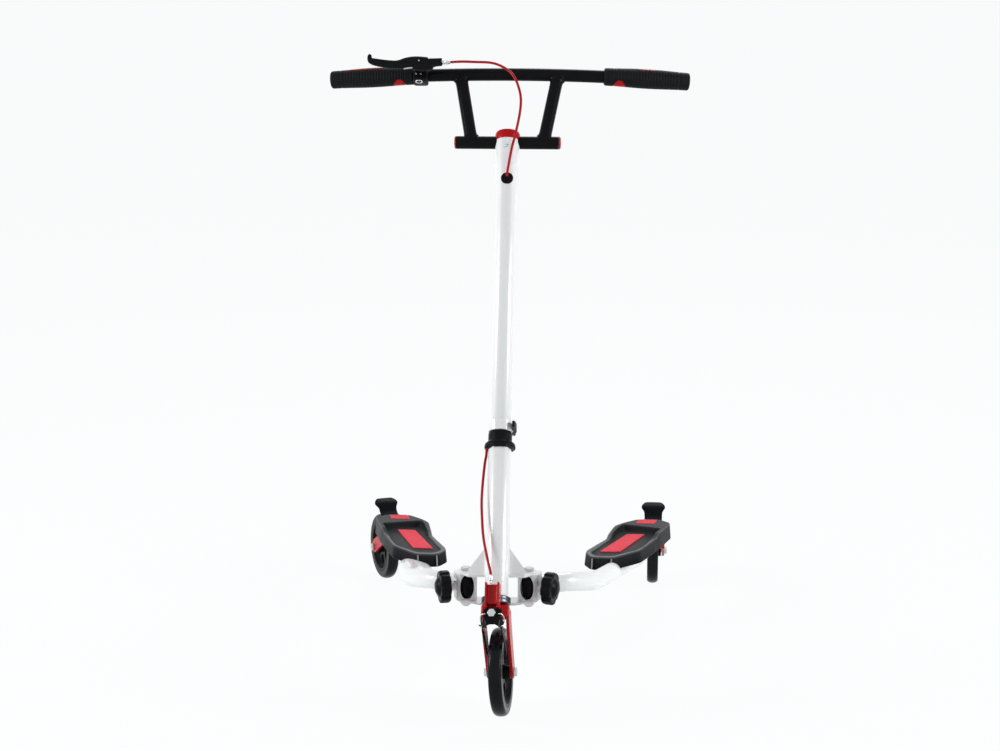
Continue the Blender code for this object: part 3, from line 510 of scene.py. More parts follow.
def grid_mesh(
    name: str, points: np.ndarray, around: bool = True, caps: bool = False, pale: Optional[np.ndarray] = None
) -> bpy.types.Mesh:
    """A smooth mesh over a grid: each four neighbours make a face.

    Args:
        name: Name of the mesh.
        points: Rows by columns by three.
        around: Whether the last column joins the first.
        caps: Whether the first and the last row are filled in.
        pale: How much painted highlight each point takes, rows by columns.

    Returns:
        The mesh, with its normals outward.
    """
    rows, columns = points.shape[:2]
    index = np.arange(rows * columns).reshape(rows, columns)
    wrapped = np.concatenate([index, index[:, :1]], axis=1) if around else index
    corners = [wrapped[:-1, :-1], wrapped[:-1, 1:], wrapped[1:, 1:], wrapped[1:, :-1]]
    faces = np.stack(corners, axis=-1).reshape(-1, 4).tolist()
    if caps:
        faces += [index[0, ::-1].tolist(), index[-1].tolist()]
    mesh = bpy.data.meshes.new(name)
    mesh.from_pydata(points.reshape(-1, 3).tolist(), [], faces)
    # Stores each point's share of painted highlight
    if pale is not None:
        values = np.clip(pale, 0, 1).reshape(-1).astype(np.float32)
        mesh.attributes.new(PAINTED_SHEEN, "FLOAT", "POINT").data.foreach_set("value", values)
    work = bmesh.new()
    work.from_mesh(mesh)
    bmesh.ops.remove_doubles(work, verts=work.verts, dist=1e-6)
    bmesh.ops.recalc_face_normals(work, faces=work.faces)
    work.to_mesh(mesh)
    work.free()
    mesh.shade_smooth()
    mesh.set_sharp_from_angle(angle=SHARP_GRID)
    return mesh


def placed(points: np.ndarray, matrix: Matrix) -> np.ndarray:
    """Points carried by a matrix.

    Args:
        points: Any array whose last axis is X, Y, Z.
        matrix: Where to.

    Returns:
        The carried points.
    """
    whole = np.array(matrix)
    return points @ whole[:3, :3].T + whole[:3, 3]


def curve(points: Sequence[Sequence[float]], per: int) -> np.ndarray:
    """A cubic through points of any size.

    For neighbours a to d it is p = (2b + (c - a) t + (2a - 5b + 4c - d) t^2 + (3b - a - 3c + d) t^3) / 2.

    Args:
        points: Points to go through.
        per: Samples between neighbours.

    Returns:
        The samples.
    """
    given = np.array(points, dtype=float)
    ends = np.vstack([2 * given[0] - given[1], given, 2 * given[-1] - given[-2]])
    t = np.linspace(0, 1, per, endpoint=False)[None, :, None]
    a, b, c, d = (ends[i : len(ends) - 3 + i, None, :] for i in range(4))
    body = 0.5 * (2 * b + (c - a) * t + (2 * a - 5 * b + 4 * c - d) * t**2 + (3 * b - a - 3 * c + d) * t**3)
    return np.vstack([body.reshape(-1, given.shape[1]), given[-1:]])


def turned(
    profile: Sequence[Sequence[float]], steps: int = 96, ripple: Optional[Relief] = None
) -> np.ndarray:
    """A surface of revolution about Z: x = (r + ripple) cos a, y = (r + ripple) sin a, z = h.

    Args:
        profile: Points of radius and height.
        steps: Points round.
        ripple: What is added to the radius, from the angle and the radius.

    Returns:
        Profile points by steps by three.
    """
    given = np.array(profile, dtype=float)
    angle = np.linspace(0, 2 * pi, steps, endpoint=False)[None, :]
    radius = np.repeat(given[:, :1], steps, axis=1)
    height = np.repeat(given[:, 1:2], steps, axis=1)
    if ripple is not None:
        radius = radius + ripple(angle, radius)
    return np.stack([radius * np.cos(angle), radius * np.sin(angle), height], axis=-1)


def broken(profile: Sequence[Sequence[float]], width: float, closed: bool = False) -> list[Point]:
    """A profile whose corners are cut back by a short curve of three points.

    Args:
        profile: Points of radius and height.
        width: How far along each side a corner is cut.
        closed: Whether the last point joins the first.

    Returns:
        The new profile.
    """
    given = [Vector(spot) for spot in profile]
    found = []
    for number, here in enumerate(given):
        if not closed and number in (0, len(given) - 1):
            found.append(tuple(here))
            continue
        back = given[number - 1] - here
        ahead = given[(number + 1) % len(given)] - here
        cut = min(width, back.length / 2.2, ahead.length / 2.2)
        start, end = here + back.normalized() * cut, here + ahead.normalized() * cut
        found += [tuple(start), tuple((start + here * 2 + end) / 4), tuple(end)]
    return found + found[:1] if closed else found


def lathe(
    profile: Sequence[Sequence[float]],
    width: float,
    steps: int = 96,
    closed: bool = False,
    ripple: Optional[Relief] = None,
) -> np.ndarray:
    """A surface of revolution about Z whose profile has its corners cut back.

    Args:
        profile: Points of radius and height.
        width: How far along each side a corner is cut.
        steps: Points round.
        closed: Whether the last point joins the first.
        ripple: What is added to the radius, from the angle and the radius.

    Returns:
        Profile points by steps by three.
    """
    return turned(broken(profile, width, closed), steps, ripple)


def evenly(outline: Sequence[Sequence[float]], count: int, soft: int = 0) -> np.ndarray:
    """Points at even steps along a closed outline, its corners rounded by a mean over their neighbours.

    Args:
        outline: Corners, in order.
        count: Points wanted.
        soft: Neighbours on each side that a point is the mean of.

    Returns:
        The points.
    """
    given = np.array([*outline, outline[0]], dtype=float)
    along = np.concatenate([[0.0], np.cumsum(np.linalg.norm(np.diff(given, axis=0), axis=1))])
    where = np.linspace(0, along[-1], count, endpoint=False)
    even = np.stack([np.interp(where, along, given[:, 0]), np.interp(where, along, given[:, 1])], axis=-1)
    return np.mean([np.roll(even, shift, axis=0) for shift in range(-soft, soft + 1)], axis=0)


def reach_of(outline: Sequence[Sequence[float]], centre: np.ndarray, ways: np.ndarray) -> np.ndarray:
    """Distance from a centre to a closed outline.

    It is t = (a x e) / (d x e) on the edge e from the corner a that the way d meets.

    Args:
        outline: Corners, in order.
        centre: A point inside that sees every side.
        ways: Unit directions.

    Returns:
        The distance in each direction.
    """
    first = np.array(outline, dtype=float) - centre
    edge = np.roll(first, -1, axis=0) - first
    way = ways[:, None, :]
    turn = way[..., 0] * edge[:, 1] - way[..., 1] * edge[:, 0]
    far = (first[:, 0] * edge[:, 1] - first[:, 1] * edge[:, 0]) / turn
    share = (first[:, 0] * way[..., 1] - first[:, 1] * way[..., 0]) / turn
    met = (share > -1e-6) & (share < 1 + 1e-6) & (far > 0)
    return np.where(met, far, np.inf).min(axis=1)


def eased(value: np.ndarray) -> np.ndarray:
    """A smooth step from nought to one: 3t^2 - 2t^3."""
    held = np.clip(value, 0, 1)
    return held * held * (3 - 2 * held)


def bell(value: np.ndarray, width: float) -> np.ndarray:
    """A smooth bump of height one: exp(-(x / width)^2).

    Args:
        value: Distances from its middle.
        width: Its width.

    Returns:
        The bump.
    """
    return np.exp(-((value / width) ** 2))


def circle(count: int) -> np.ndarray:
    """Cosine and sine of even angles round.

    Args:
        count: Number of angles.

    Returns:
        Two rows.
    """
    angle = np.linspace(0, 2 * pi, count, endpoint=False)
    return np.stack([np.cos(angle), np.sin(angle)])


def squared(wave: np.ndarray, power: float) -> np.ndarray:
    """Bends values towards -1 and 1, which makes a circle squarer: sign(w) |w|^power.

    Args:
        wave: Values between -1 and 1.
        power: One for no change, and less for a squarer shape.

    Returns:
        The bent values.
    """
    return np.sign(wave) * np.abs(wave) ** power


def hexed(angle: np.ndarray, radius: np.ndarray) -> np.ndarray:
    """What turns a circle into a hexagon whose corners lie on it: r (cos 30 / cos(a mod 60 - 30) - 1).

    Args:
        angle: Angle round.
        radius: Radius there.

    Returns:
        What is added to the radius.
    """
    return radius * (cos(pi / 6) / np.cos(np.mod(angle, pi / 3) - pi / 6) - 1)


def swept(
    path: np.ndarray,
    radius: Any,
    sides: int = 32,
    up: Point = (0.0, 0.0, 1.0),
    flat: Any = 1.0,
    relief: Optional[Relief] = None,
    square: float = 1.0,
) -> np.ndarray:
    """A bar along a path: p + r (cos a)^k n + flat r (sin a)^k m.

    Both m and n are square to the path, and n is square to the direction up too.

    Args:
        path: Points to follow.
        radius: Radius, at each point or all along.
        sides: Points round.
        up: A direction that the path never takes.
        flat: Height of the section against its width.
        relief: What is added to the radius, from the angle and the share of the length.
        square: The power k, one for an ellipse and less for a squarer section.

    Returns:
        Path points by sides by three.
    """
    along = np.gradient(path, axis=0)
    along /= np.linalg.norm(along, axis=1, keepdims=True)
    level = np.cross(along, up)
    level /= np.linalg.norm(level, axis=1, keepdims=True)
    other = np.cross(level, along)
    angle = np.linspace(0, 2 * pi, sides, endpoint=False)[None, :]
    share = np.linspace(0, 1, len(path))[:, None]
    lift = relief(angle, share) if relief else 0.0 * angle
    reach = np.broadcast_to(np.reshape(radius, (-1, 1)), (len(path), 1)) + lift
    across = squared(np.cos(angle), square)
    upward = np.reshape(flat, (-1, 1)) * squared(np.sin(angle), square)
    ring = level[:, None, :] * across[..., None] + other[:, None, :] * upward[..., None]
    return path[:, None, :] + ring * reach[..., None]


def rounded_ends(radius: np.ndarray, share: np.ndarray, cut: float, drop: float) -> np.ndarray:
    """Radii that fall away at both ends by drop (1 - sqrt(1 - q^2)), q being how far into the end a point is.

    Args:
        radius: Radii along the path.
        share: Share of the length at each.
        cut: Share of the length that an end takes.
        drop: How far the radius falls.

    Returns:
        The new radii.
    """
    near = np.clip(1 - np.minimum(share, 1 - share) / cut, 0, 1)
    return radius - drop * (1 - np.sqrt(1 - near**2))


def piece(
    name: str, mesh: bpy.types.Mesh, body: str, slot: str, replaces: Sequence[str] = ()
) -> bpy.types.Object:
    """Makes an object, dresses it and ties it to a body.

    Args:
        name: Name of the piece.
        mesh: Its mesh, in the model's own coordinates.
        body: Body that it rides on.
        slot: Slot of the record that it takes its finish from.
        replaces: Nodes that it stands for.

    Returns:
        The object.
    """
    made = bpy.data.objects.new(name, mesh)
    bpy.context.scene.collection.objects.link(made)
    mesh.materials.clear()
    mesh.materials.append(FINISHES[slot].material("finish_" + slot))
    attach(made, body)
    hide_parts(*replaces)
    log.info("%s rides on %s", name, body)
    return made


def surface(
    name: str,
    points: np.ndarray,
    matrix: Matrix,
    body: str,
    slot: str,
    replaces: Sequence[str] = (),
    caps: bool = False,
) -> bpy.types.Object:
    """A piece from a grid of points in some part's own axes.

    Args:
        name: Name of the piece.
        points: Rows by columns by three.
        matrix: From those axes to the model's.
        body: Body that it rides on.
        slot: Slot of the record that it takes its finish from.
        replaces: Nodes that it stands for.
        caps: Whether its ends are filled in.

    Returns:
        The object.
    """
    return piece(name, grid_mesh(name, placed(points, matrix), caps=caps), body, slot, replaces)


def refined(
    node: str,
    edge: float = 0.0004,
    keep: Optional[tuple[Vector, Vector]] = None,
    word: str = "fine",
    slot: str = "",
) -> bpy.types.Object:
    """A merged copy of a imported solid, with its flats joined, its edges broken and its round faces smooth.

    Args:
        node: Name of the node.
        edge: Width of the broken edge, or nought for none.
        keep: Point and direction of a plane, where only what lies beyond it is kept.
        word: Last word of the piece's name.
        slot: Slot of its finish, where that isn't the node's own.

    Returns:
        The piece, which replaces the node.
    """
    mesh = frame["nodes"][node].data.copy()
    work = bmesh.new()
    work.from_mesh(mesh)
    bmesh.ops.remove_doubles(work, verts=work.verts, dist=2e-6)
    if keep:
        whole = [*work.verts, *work.edges, *work.faces]
        plane = {"plane_co": keep[0], "plane_no": keep[1]}
        cut = bmesh.ops.bisect_plane(work, geom=whole, clear_inner=True, dist=1e-7, **plane)
        rim = [item for item in cut["geom_cut"] if isinstance(item, bmesh.types.BMEdge)]
        bmesh.ops.holes_fill(work, edges=rim, sides=0)
    bmesh.ops.dissolve_limit(work, angle_limit=radians(0.6), verts=work.verts, edges=work.edges)
    bmesh.ops.recalc_face_normals(work, faces=work.faces)
    work.to_mesh(mesh)
    work.free()
    mesh.shade_smooth()
    mesh.set_sharp_from_angle(angle=SHARP_SOLID)
    made = piece(f"{node}_{word}", mesh, body_of(node), slot or slot_of(node), [node])
    if edge:
        bevel = made.modifiers.new("edge", "BEVEL")
        bevel.width = edge
        bevel.segments = 2
        bevel.limit_method = "ANGLE"
        bevel.angle_limit = SHARP_SOLID
        bevel.harden_normals = True
    return made


# Sub-assemblies


@dataclass
class Studio:
    """Camera, lamps, world and floor.

    Attributes:
        eye: Camera's place against the point where the steering axis meets the ground.
        pitch: Degrees that it looks down.
        yaw: Degrees that it looks towards -X.
        roll: Degrees that it is turned about its view.
        lens: Focal length for a sensor 36 mm wide.
        watts: Strength of the main lamp.
        target: Point that the lamps are aimed at.
        lamps: Name, place, side of the square and strength against the main lamp.
        background: Colour of the world and the floor as the camera sees them.
        ambient: Strength of the world as a light.
        floor_half: Half of the floor's side.
        floor_height: Height of the floor, just below the tyres.
        floor_glow: Share of the background's colour that the floor shows the camera.
        floor_colours: Linear colours that the floor's clouds run between.
    """

    eye: Point = (0.1645, -3.6031, 1.3190)
    pitch: float = 11.47
    yaw: float = 2.446
    roll: float = 0.102
    lens: float = 86.5
    watts: float = 86.0
    target: Point = (0.0, 0.0, 0.45)
    lamps: tuple[tuple[str, Point, float, float], ...] = (
        ("left", (-3.3, -0.9, 1.7), 1.3, 1.0),
        ("right", (3.3, -1.0, 1.6), 1.3, 0.9),
        ("back", (0.3, 2.6, 3.0), 1.8, 0.5),
    )
    background: tuple[float, float, float, float] = (0.98, 1.0, 1.0, 1.0)
    ambient: float = 0.24
    floor_half: float = 30.0
    floor_height: float = -0.0005
    floor_glow: float = 0.95
    floor_colours: tuple[Colour, Colour] = ((0.92, 0.94, 0.94), (0.90, 0.92, 0.92))

    def camera(self) -> None:
        """Puts the camera where the photograph was taken from."""
        data = bpy.data.cameras.new("camera")
        data.lens = self.lens
        made = bpy.data.objects.new("camera", data)
        bpy.context.scene.collection.objects.link(made)
        aim = Matrix.Rotation(radians(self.yaw), 4, "Z") @ Matrix.Rotation(radians(90 - self.pitch), 4, "X")
        aim = aim @ Matrix.Rotation(radians(self.roll), 4, "Z")
        made.matrix_world = Matrix.Translation(Vector(self.eye) + GROUND) @ aim
        bpy.context.scene.camera = made

    def lamp(self, name: str, spot: Point, size: float, share: float) -> None:
        """One square lamp, aimed at the middle of the object.

        Args:
            name: Name of the lamp.
            spot: Its place.
            size: Side of the square.
            share: Strength against the main lamp.
        """
        data = bpy.data.lights.new(name, "AREA")
        data.size = size
        data.energy = self.watts * share
        made = bpy.data.objects.new(name, data)
        bpy.context.scene.collection.objects.link(made)
        made.location = spot
        made.rotation_euler = (Vector(self.target) - Vector(spot)).to_track_quat("-Z", "Y").to_euler()

    def world(self) -> None:
        """A world that is white to the camera and to mirror rays, and dimmer as a light."""
        world = bpy.data.worlds.new("pale")
        world.use_nodes = True
        tree = Tree(world.node_tree)
        back = world.node_tree.nodes["Background"]
        seen = tree.path(*SEEN_RAYS)
        tree.put(back.inputs["Color"], self.background)
        tree.put(back.inputs["Strength"], self.ambient + (1 - self.ambient) * seen)
        bpy.context.scene.world = world

    def floor(self) -> None:
        """A wide pale floor that glows for the camera and keeps the object's shadow."""
        ends = (-self.floor_half, self.floor_half)
        corners = np.array([[(x, y, self.floor_height) for x in ends] for y in ends])
        mesh = grid_mesh("floor", corners, around=False)
        made = bpy.data.objects.new("floor", mesh)
        bpy.context.scene.collection.objects.link(made)
        paint = Paint("floor_pale")
        paint.feed("Base Color", paint.blend(paint.noise(2.0), *self.floor_colours))
        paint.feed("Roughness", 0.9)
        glow = paint.add("ShaderNodeEmission", {}, {"Color": self.background, "Strength": 1.0})
        share = self.floor_glow * paint.path(*SEEN_RAYS)
        plain = Wire(paint, paint.shader.outputs[0])
        mixed = paint.add("ShaderNodeMixShader", {}, {0: share, 1: plain, 2: glow})
        paint.put(paint.nodes.nodes["Material Output"].inputs["Surface"], mixed)
        mesh.materials.append(paint.material)

    def build(self) -> None:
        """Sets up the whole studio."""
        self.camera()
        self.world()
        self.floor()
        for lamp in self.lamps:
            self.lamp(*lamp)
        bpy.context.scene.view_settings.view_transform = "Standard"


@dataclass
class Cable:
    """A brake cable in its sleeve, from one fixed end to the other.

    Attributes:
        node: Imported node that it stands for.
        points: Its route in the axes of the column or the fork.
        matrix: From those axes to the model's.
        radius: Radius of the sleeve.
        inset: How far the surface stays inside that radius.
        up: A direction that neither route takes.
    """

    node: str
    points: tuple[Point, ...]
    matrix: Matrix
    radius: float = 0.00225
    inset: float = 0.00002
    up: Point = (1.0, 0.2, 0.1)

    def build(self) -> None:
        path = placed(curve(self.points, ROUTE_STEPS), self.matrix)
        name = self.node + "_sleeve"
        mesh = grid_mesh(name, swept(path, self.radius - self.inset, 20, up=self.up), caps=True)
        made = piece(name, mesh, body_of(self.node), "red_sleeve", [self.node])


# From the barrel adjuster at the lever to the grommet in the column
UPPER_ROUTE: tuple[Point, ...] = (
    (-0.1010, -0.0360, 1.1741),
    (-0.0807, -0.0385, 1.1740),
    (-0.0580, -0.0420, 1.1716),
    (-0.0317, -0.0470, 1.1679),
    (-0.0142, -0.0500, 1.1609),
    (0.0034, -0.0530, 1.1477),
    (0.0142, -0.0560, 1.1300),
    (0.0226, -0.0580, 1.1005),
    (0.0227, -0.0560, 1.0731),
    (0.0166, -0.0500, 1.0383),
    (0.0091, -0.0410, 1.0087),
    (0.0045, -0.0320, 0.9850),
    (0.0020, -0.0265, 0.9715),
    (0.0014, -0.0228, 0.9645),
)
# From the collar above the head tube to the ferrule above the brake
LOWER_ROUTE: tuple[Point, ...] = (
    (-0.0212, -0.0052, 0.4815),
    (-0.0216, -0.0060, 0.4690),
    (-0.0228, -0.0075, 0.4599),
    (-0.0239, -0.0100, 0.4436),
    (-0.0247, -0.0125, 0.4257),
    (-0.0252, -0.0150, 0.4079),
    (-0.0251, -0.0180, 0.3849),
    (-0.0233, -0.0210, 0.3602),
    (-0.0211, -0.0240, 0.3374),
    (-0.0182, -0.0265, 0.3182),
    (-0.0143, -0.0285, 0.3008),
    (-0.0101, -0.0308, 0.2834),
    (-0.0060, -0.0332, 0.2680),
    (-0.0042, -0.0345, 0.2600),
)


@dataclass
class Wheel:
    """A wheel: a cast tyre round a core with spokes.

    Attributes:
        name: First words of its pieces' names.
        joint_name: Joint whose axis is the axle.
        radius: Outer radius of the tyre.
        half: Half of its width.
        rim: Radius at which the tyre starts.
        nodes: Core node and tyre node.
        crown: Power of the sine that rounds the tread, lower for a flatter one.
        shoulder: How far the side walls draw in at the rim.
        lines: Shares of the profile where a moulding line runs round.
        line_depth: Depth of such a line.
        line_width: Its width, as a share of the profile.
    """

    name: str
    joint_name: str
    radius: float
    half: float
    rim: float
    nodes: tuple[str, str]
    crown: float = 0.62
    shoulder: float = 0.0028
    lines: tuple[float, float] = (0.20, 0.80)
    line_depth: float = 0.0003
    line_width: float = 0.012

    @property
    def matrix(self) -> Matrix:
        """From a surface about Z to the wheel's axle.

        Returns:
            The matrix.
        """
        entry = joint(self.joint_name)
        turn = Vector((0, 0, 1)).rotation_difference(Vector(entry["axis"])).to_matrix().to_4x4()
        return Matrix.Translation(entry["pos_m"]) @ turn

    def tyre(self) -> None:
        """The tyre: a rounded crown with two moulding lines, carried round the axle.

        Its radius is rim + depth sin(pi s)^crown, and its height -cos(pi s) (half - shoulder |cos(pi s)|^6).
        """
        share = np.linspace(0, 1, 34)
        bulge = np.sin(pi * share) ** self.crown
        line = self.line_depth * sum(bell(share - at, self.line_width) for at in self.lines)
        seat_radius = self.rim + CLEARANCE
        radius = seat_radius + (self.radius - HAIR - seat_radius) * bulge - line
        drawn_in = self.shoulder * np.abs(np.cos(pi * share)) ** 6
        height = -np.cos(pi * share) * (self.half - HAIR - drawn_in)
        outside = np.stack([radius, height], axis=1)
        seat = np.array([[seat_radius, height[-1]], [seat_radius, height[0]]])
        loop = turned(np.vstack([outside, seat, outside[:1]]), 144)
        node = self.nodes[1]
        surface(self.name + "_tyre_cast", loop, self.matrix, body_of(node), "tyre", [node])

    def build(self) -> None:
        """Makes the tyre and dresses the core."""
        self.tyre()
        refined(self.nodes[0], 0.0006)


@dataclass
class Frame:
    """Head tube, yoke, gussets, bearings and hinge pins.

    Attributes:
        pin: Place of a hinge, outward and backward.
        head_wall: How far the head tube's skin reaches inwards at its ends.
        bead: Radius of a weld bead.
        bead_steps: Steps of the torch along a bead.
        gusset_low: Height where a gusset starts.
        gusset_long: How far it runs up the tube.
        gusset_half: Distance of a bead from the gusset's middle.
        bore: Radius of the bearings' bores.
        cup_radius: Radius of the lower cup.
        race_high: Height of the upper bearing's top.
        bushing_radius: Radius of a bushing at its middle.
        bushing_gap: What is left between a bushing and each yoke plate.
    """

    pin: tuple[float, float] = (0.0513, 0.1633)
    head_wall: float = 0.0015
    bead: float = 0.0012
    bead_steps: int = 16
    gusset_low: float = 0.2680
    gusset_long: float = 0.0475
    gusset_half: float = 0.0021
    bore: float = STEERER_RADIUS + PLAY
    cup_radius: float = 0.0237
    race_high: float = 0.4818
    bushing_radius: float = 0.01155
    bushing_gap: float = 0.0023

    def head(self) -> None:
        """The head tube's skin, with a smooth round outside and rounded ends."""
        inner, outer = HEAD_RADIUS - self.head_wall, HEAD_RADIUS + SKIN
        low, high = HEAD_LOW - HAIR, HEAD_HIGH + HAIR
        wall = [(inner, low), (outer, low), (outer, high), (inner, high)]
        ring = lathe(wall, width=0.0005, steps=128, closed=True)
        surface("head_tube_skin", ring, COLUMN_FRAME, "frame", "white")

    def welds(self) -> None:
        """Beads where the gussets meet the tube, whose radius swells and shrinks with the torch's steps."""
        share = np.linspace(0, 1, 90)
        swelling = 1 + 0.16 * np.sin(2 * pi * self.bead_steps * share)
        radius = rounded_ends(self.bead * swelling, share, cut=0.04, drop=self.bead * 0.7)
        for side in Side:
            for face, word in ((-1, "front"), (1, "back")):
                x = np.full_like(share, side.value * (HEAD_RADIUS + HAIR))
                y = np.full_like(share, face * self.gusset_half)
                path = np.stack([x, y, self.gusset_low + self.gusset_long * share], axis=-1)
                ring = swept(path, radius, 16, up=(1.0, 0.0, 0.0))
                surface(f"{side.word}_gusset_weld_{word}", ring, COLUMN_FRAME, "frame", "white", caps=True)

    def bearings(self) -> None:
        """Lower cup with a groove round it, and upper bearing, as finely turned rings."""
        low, high = CUP_LOW + CLEARANCE, HEAD_LOW - 0.0004
        bore, wide, groove = self.bore, self.cup_radius, 0.0230
        cup = [(bore, low), (0.0215, low), (wide, CUP_LOW + 0.0020), (wide, 0.2240), (groove, 0.2243)]
        cup += [(groove, 0.2250), (wide, 0.2253), (wide, HEAD_LOW - 0.0020), (0.0220, high), (bore, high)]
        ring = lathe(cup, width=0.0004, steps=128, closed=True)
        surface("lower_cup_turned", ring, COLUMN_FRAME, "frame", "gunmetal", ["lower_headset_cup"])
        low, high = HEAD_HIGH + CLEARANCE, self.race_high
        race = [(bore, low), (HEAD_RADIUS, low), (HEAD_RADIUS, high), (bore, high)]
        ring = lathe(race, width=0.0003, steps=128, closed=True)
        nodes = ["upper_headset_bearing"]
        surface("upper_bearing_turned", ring, COLUMN_FRAME, "frame", "bearing_steel", nodes)

    def bushing(self, side: Side) -> None:
        """An oval of rubber round a hinge pin: r = R (1 - |s|^2.6)^(1/2.2) over its height s from -1 to 1.

        Args:
            side: The rider's side.
        """
        low, high = YOKE_LOW + self.bushing_gap, YOKE_HIGH - self.bushing_gap
        bore = KINGPIN_RADIUS + CLEARANCE
        share = np.linspace(-1, 1, 41)
        oval = self.bushing_radius * (1 - np.abs(share) ** 2.6) ** (1 / 2.2)
        radius = np.maximum(oval, bore + 0.0004)
        wall = np.stack([radius, YOKE_MIDDLE + (high - low) / 2 * share], axis=-1)
        ring = turned([(bore, low), *wall.tolist(), (bore, high), (bore, low)], 72)
        spot = Matrix.Translation((side.value * self.pin[0], GROUND.y + self.pin[1], GROUND.z))
        word = side.word
        surface(f"{word}_bushing_moulded", ring, spot, "frame", "black_rubber", [f"{word}_rubber_bushing"])

    def build(self) -> None:
        """Makes the turned pieces and dresses the rest."""
        refined("main_frame", 0.0005)
        self.head()
        self.welds()
        self.bearings()
        for side in Side:
            self.bushing(side)
            refined(f"{side.word}_kingpin", 0.0005)
            refined(f"{side.word}_kingpin_nut", 0.0005)


@dataclass
class Fork:
    """Fork, collar, brake hanger, calipers and what is fixed to them.

    Attributes:
        collar_top: Height of the collar's top.
        hanger_back: How far the hanger's back plate stands from the axis.
        bridge: Thickness of the bridge in front of it.
        slab: Thickness of a caliper arm.
        bolt_shank: Radius of the caliper bolt.
        bolt_head: Radius of its head over the corners.
        hub: Radius of a caliper arm round the bolt.
        arm_height: Shares of a brake arm's length, and half of its height at each.
        spring: Radius of a return spring's wire.
        panel_size: Half width and half height of the hanger's face.
        panel_height: Height of its middle.
        ferrule_at: Place of the cable's ferrule, across and backwards.
    """

    collar_top: float = 0.5110
    hanger_back: float = -0.0310
    bridge: float = 0.0053
    slab: float = 0.0029
    bolt_shank: float = 0.0025
    bolt_head: float = 0.0070
    hub: float = 0.0092
    arm_height: tuple[tuple[float, ...], tuple[float, ...]] = (
        (0.0, 0.15, 0.40, 0.60, 1.0),
        (0.0062, 0.0085, 0.0080, 0.0062, 0.0042),
    )
    spring: float = 0.0010
    panel_size: tuple[float, float] = (0.0083, 0.0158)
    panel_height: float = 0.2258
    ferrule_at: tuple[float, float] = (-0.0040, -0.0347)

    @property
    def stack_back(self) -> float:
        """Where the first caliper arm lies on the bridge."""
        return self.hanger_back - CLEARANCE - self.bridge

    @property
    def stack_front(self) -> float:
        """Where the bolt's head lies on the second caliper arm."""
        return self.stack_back - 2 * (self.slab + CLEARANCE)

    @property
    def bolt_axes(self) -> Matrix:
        """From a surface about Z to the caliper bolt."""
        return FORK_FRAME @ Matrix.Translation((0, 0, BOLT_HEIGHT)) @ ALONG_Y

    def beside_bolt(self, points: np.ndarray, side: Side) -> np.ndarray:
        """Points drawn for the left and about the bolt, taken to a side and up to the bolt.

        Args:
            points: Any array whose last axis is X, Y, Z.
            side: The rider's side.

        Returns:
            The points in the fork's axes.
        """
        return points * np.array((side.value, 1, 1)) + np.array((0, 0, BOLT_HEIGHT))

    def collar(self) -> None:
        """The collar above the head tube, turned in one piece with its flange."""
        inner, low, top = STEERER_RADIUS + CLEARANCE, 0.4824, self.collar_top
        flange = [(0.0250, low), (0.0260, low + 0.0020), (0.0250, low + 0.0075), (0.0212, low + 0.0110)]
        sleeve = [(0.01975, low + 0.0125), (0.01975, top - 0.0030), (0.0186, top - 0.0025), (0.0186, top)]
        ring = lathe([(inner, low), *flange, *sleeve, (inner, top)], width=0.0008, steps=128, closed=True)
        surface("collar_turned", ring, FORK_FRAME, "steering", "black_plastic", ["headset_collar"])

    def bolt(self) -> None:
        """The caliper bolt: a shank and a hexagonal head with a domed top."""
        start = -self.stack_front
        end = start + 0.002
        shank = turned([(0, 0.0290), (self.bolt_shank, 0.0290), (self.bolt_shank, end), (0, end)], 32)
        surface("caliper_bolt_shank", shank, self.bolt_axes, "steering", "bolt_steel")
        head = [(0, start), (self.bolt_head, start), (self.bolt_head, start + 0.0034)]
        head += [(0.0062, start + 0.0040), (0.0030, start + 0.0044), (0, start + 0.0045)]
        hexagon = lathe(head, width=0.0003, steps=96, ripple=hexed)
        surface("caliper_bolt_hex", hexagon, self.bolt_axes, "steering", "bolt_steel", ["caliper_bolt"])

    def calipers(self) -> None:
        """Brake arms: flat bars from the bolt round the wheel to the pads, deepest beside the bolt."""
        for number, side in enumerate(Side):
            near = self.stack_back - number * (self.slab + CLEARANCE)
            middle = near - self.slab / 2
            bend = [(-0.0030, middle, -0.0052), (0.0050, middle, -0.0085)]
            bend += [(0.0110, middle + 0.0008, -0.0125), (0.0150, middle + 0.0060, -0.0170)]
            beside = [(0.0158, -0.0300, -0.0230), (0.0157, -0.0100, -0.0330)]
            beside += [(0.0157, 0.0080, -0.0440), (0.0157, 0.0190, -0.0510)]
            path = curve(bend + beside, ROUTE_STEPS)
            tall = np.interp(np.linspace(0, 1, len(path)), *self.arm_height)
            thin = self.slab / 2 - SKIN
            bar = self.beside_bolt(swept(path, thin, 28, flat=tall / thin, square=0.5), side)
            body, word = f"{side.word}_caliper", side.word
            nodes = [f"{word}_caliper_arm"]
            surface(f"{word}_caliper_bar", bar, FORK_FRAME, body, "black_metal", nodes, caps=True)
            start, end = -near + HAIR, -near + self.slab - HAIR
            hub = lathe([(0, start), (self.hub, start), (self.hub, end), (0, end)], width=0.0006, steps=64)
            surface(f"{word}_caliper_hub", hub, self.bolt_axes, body, "black_metal")

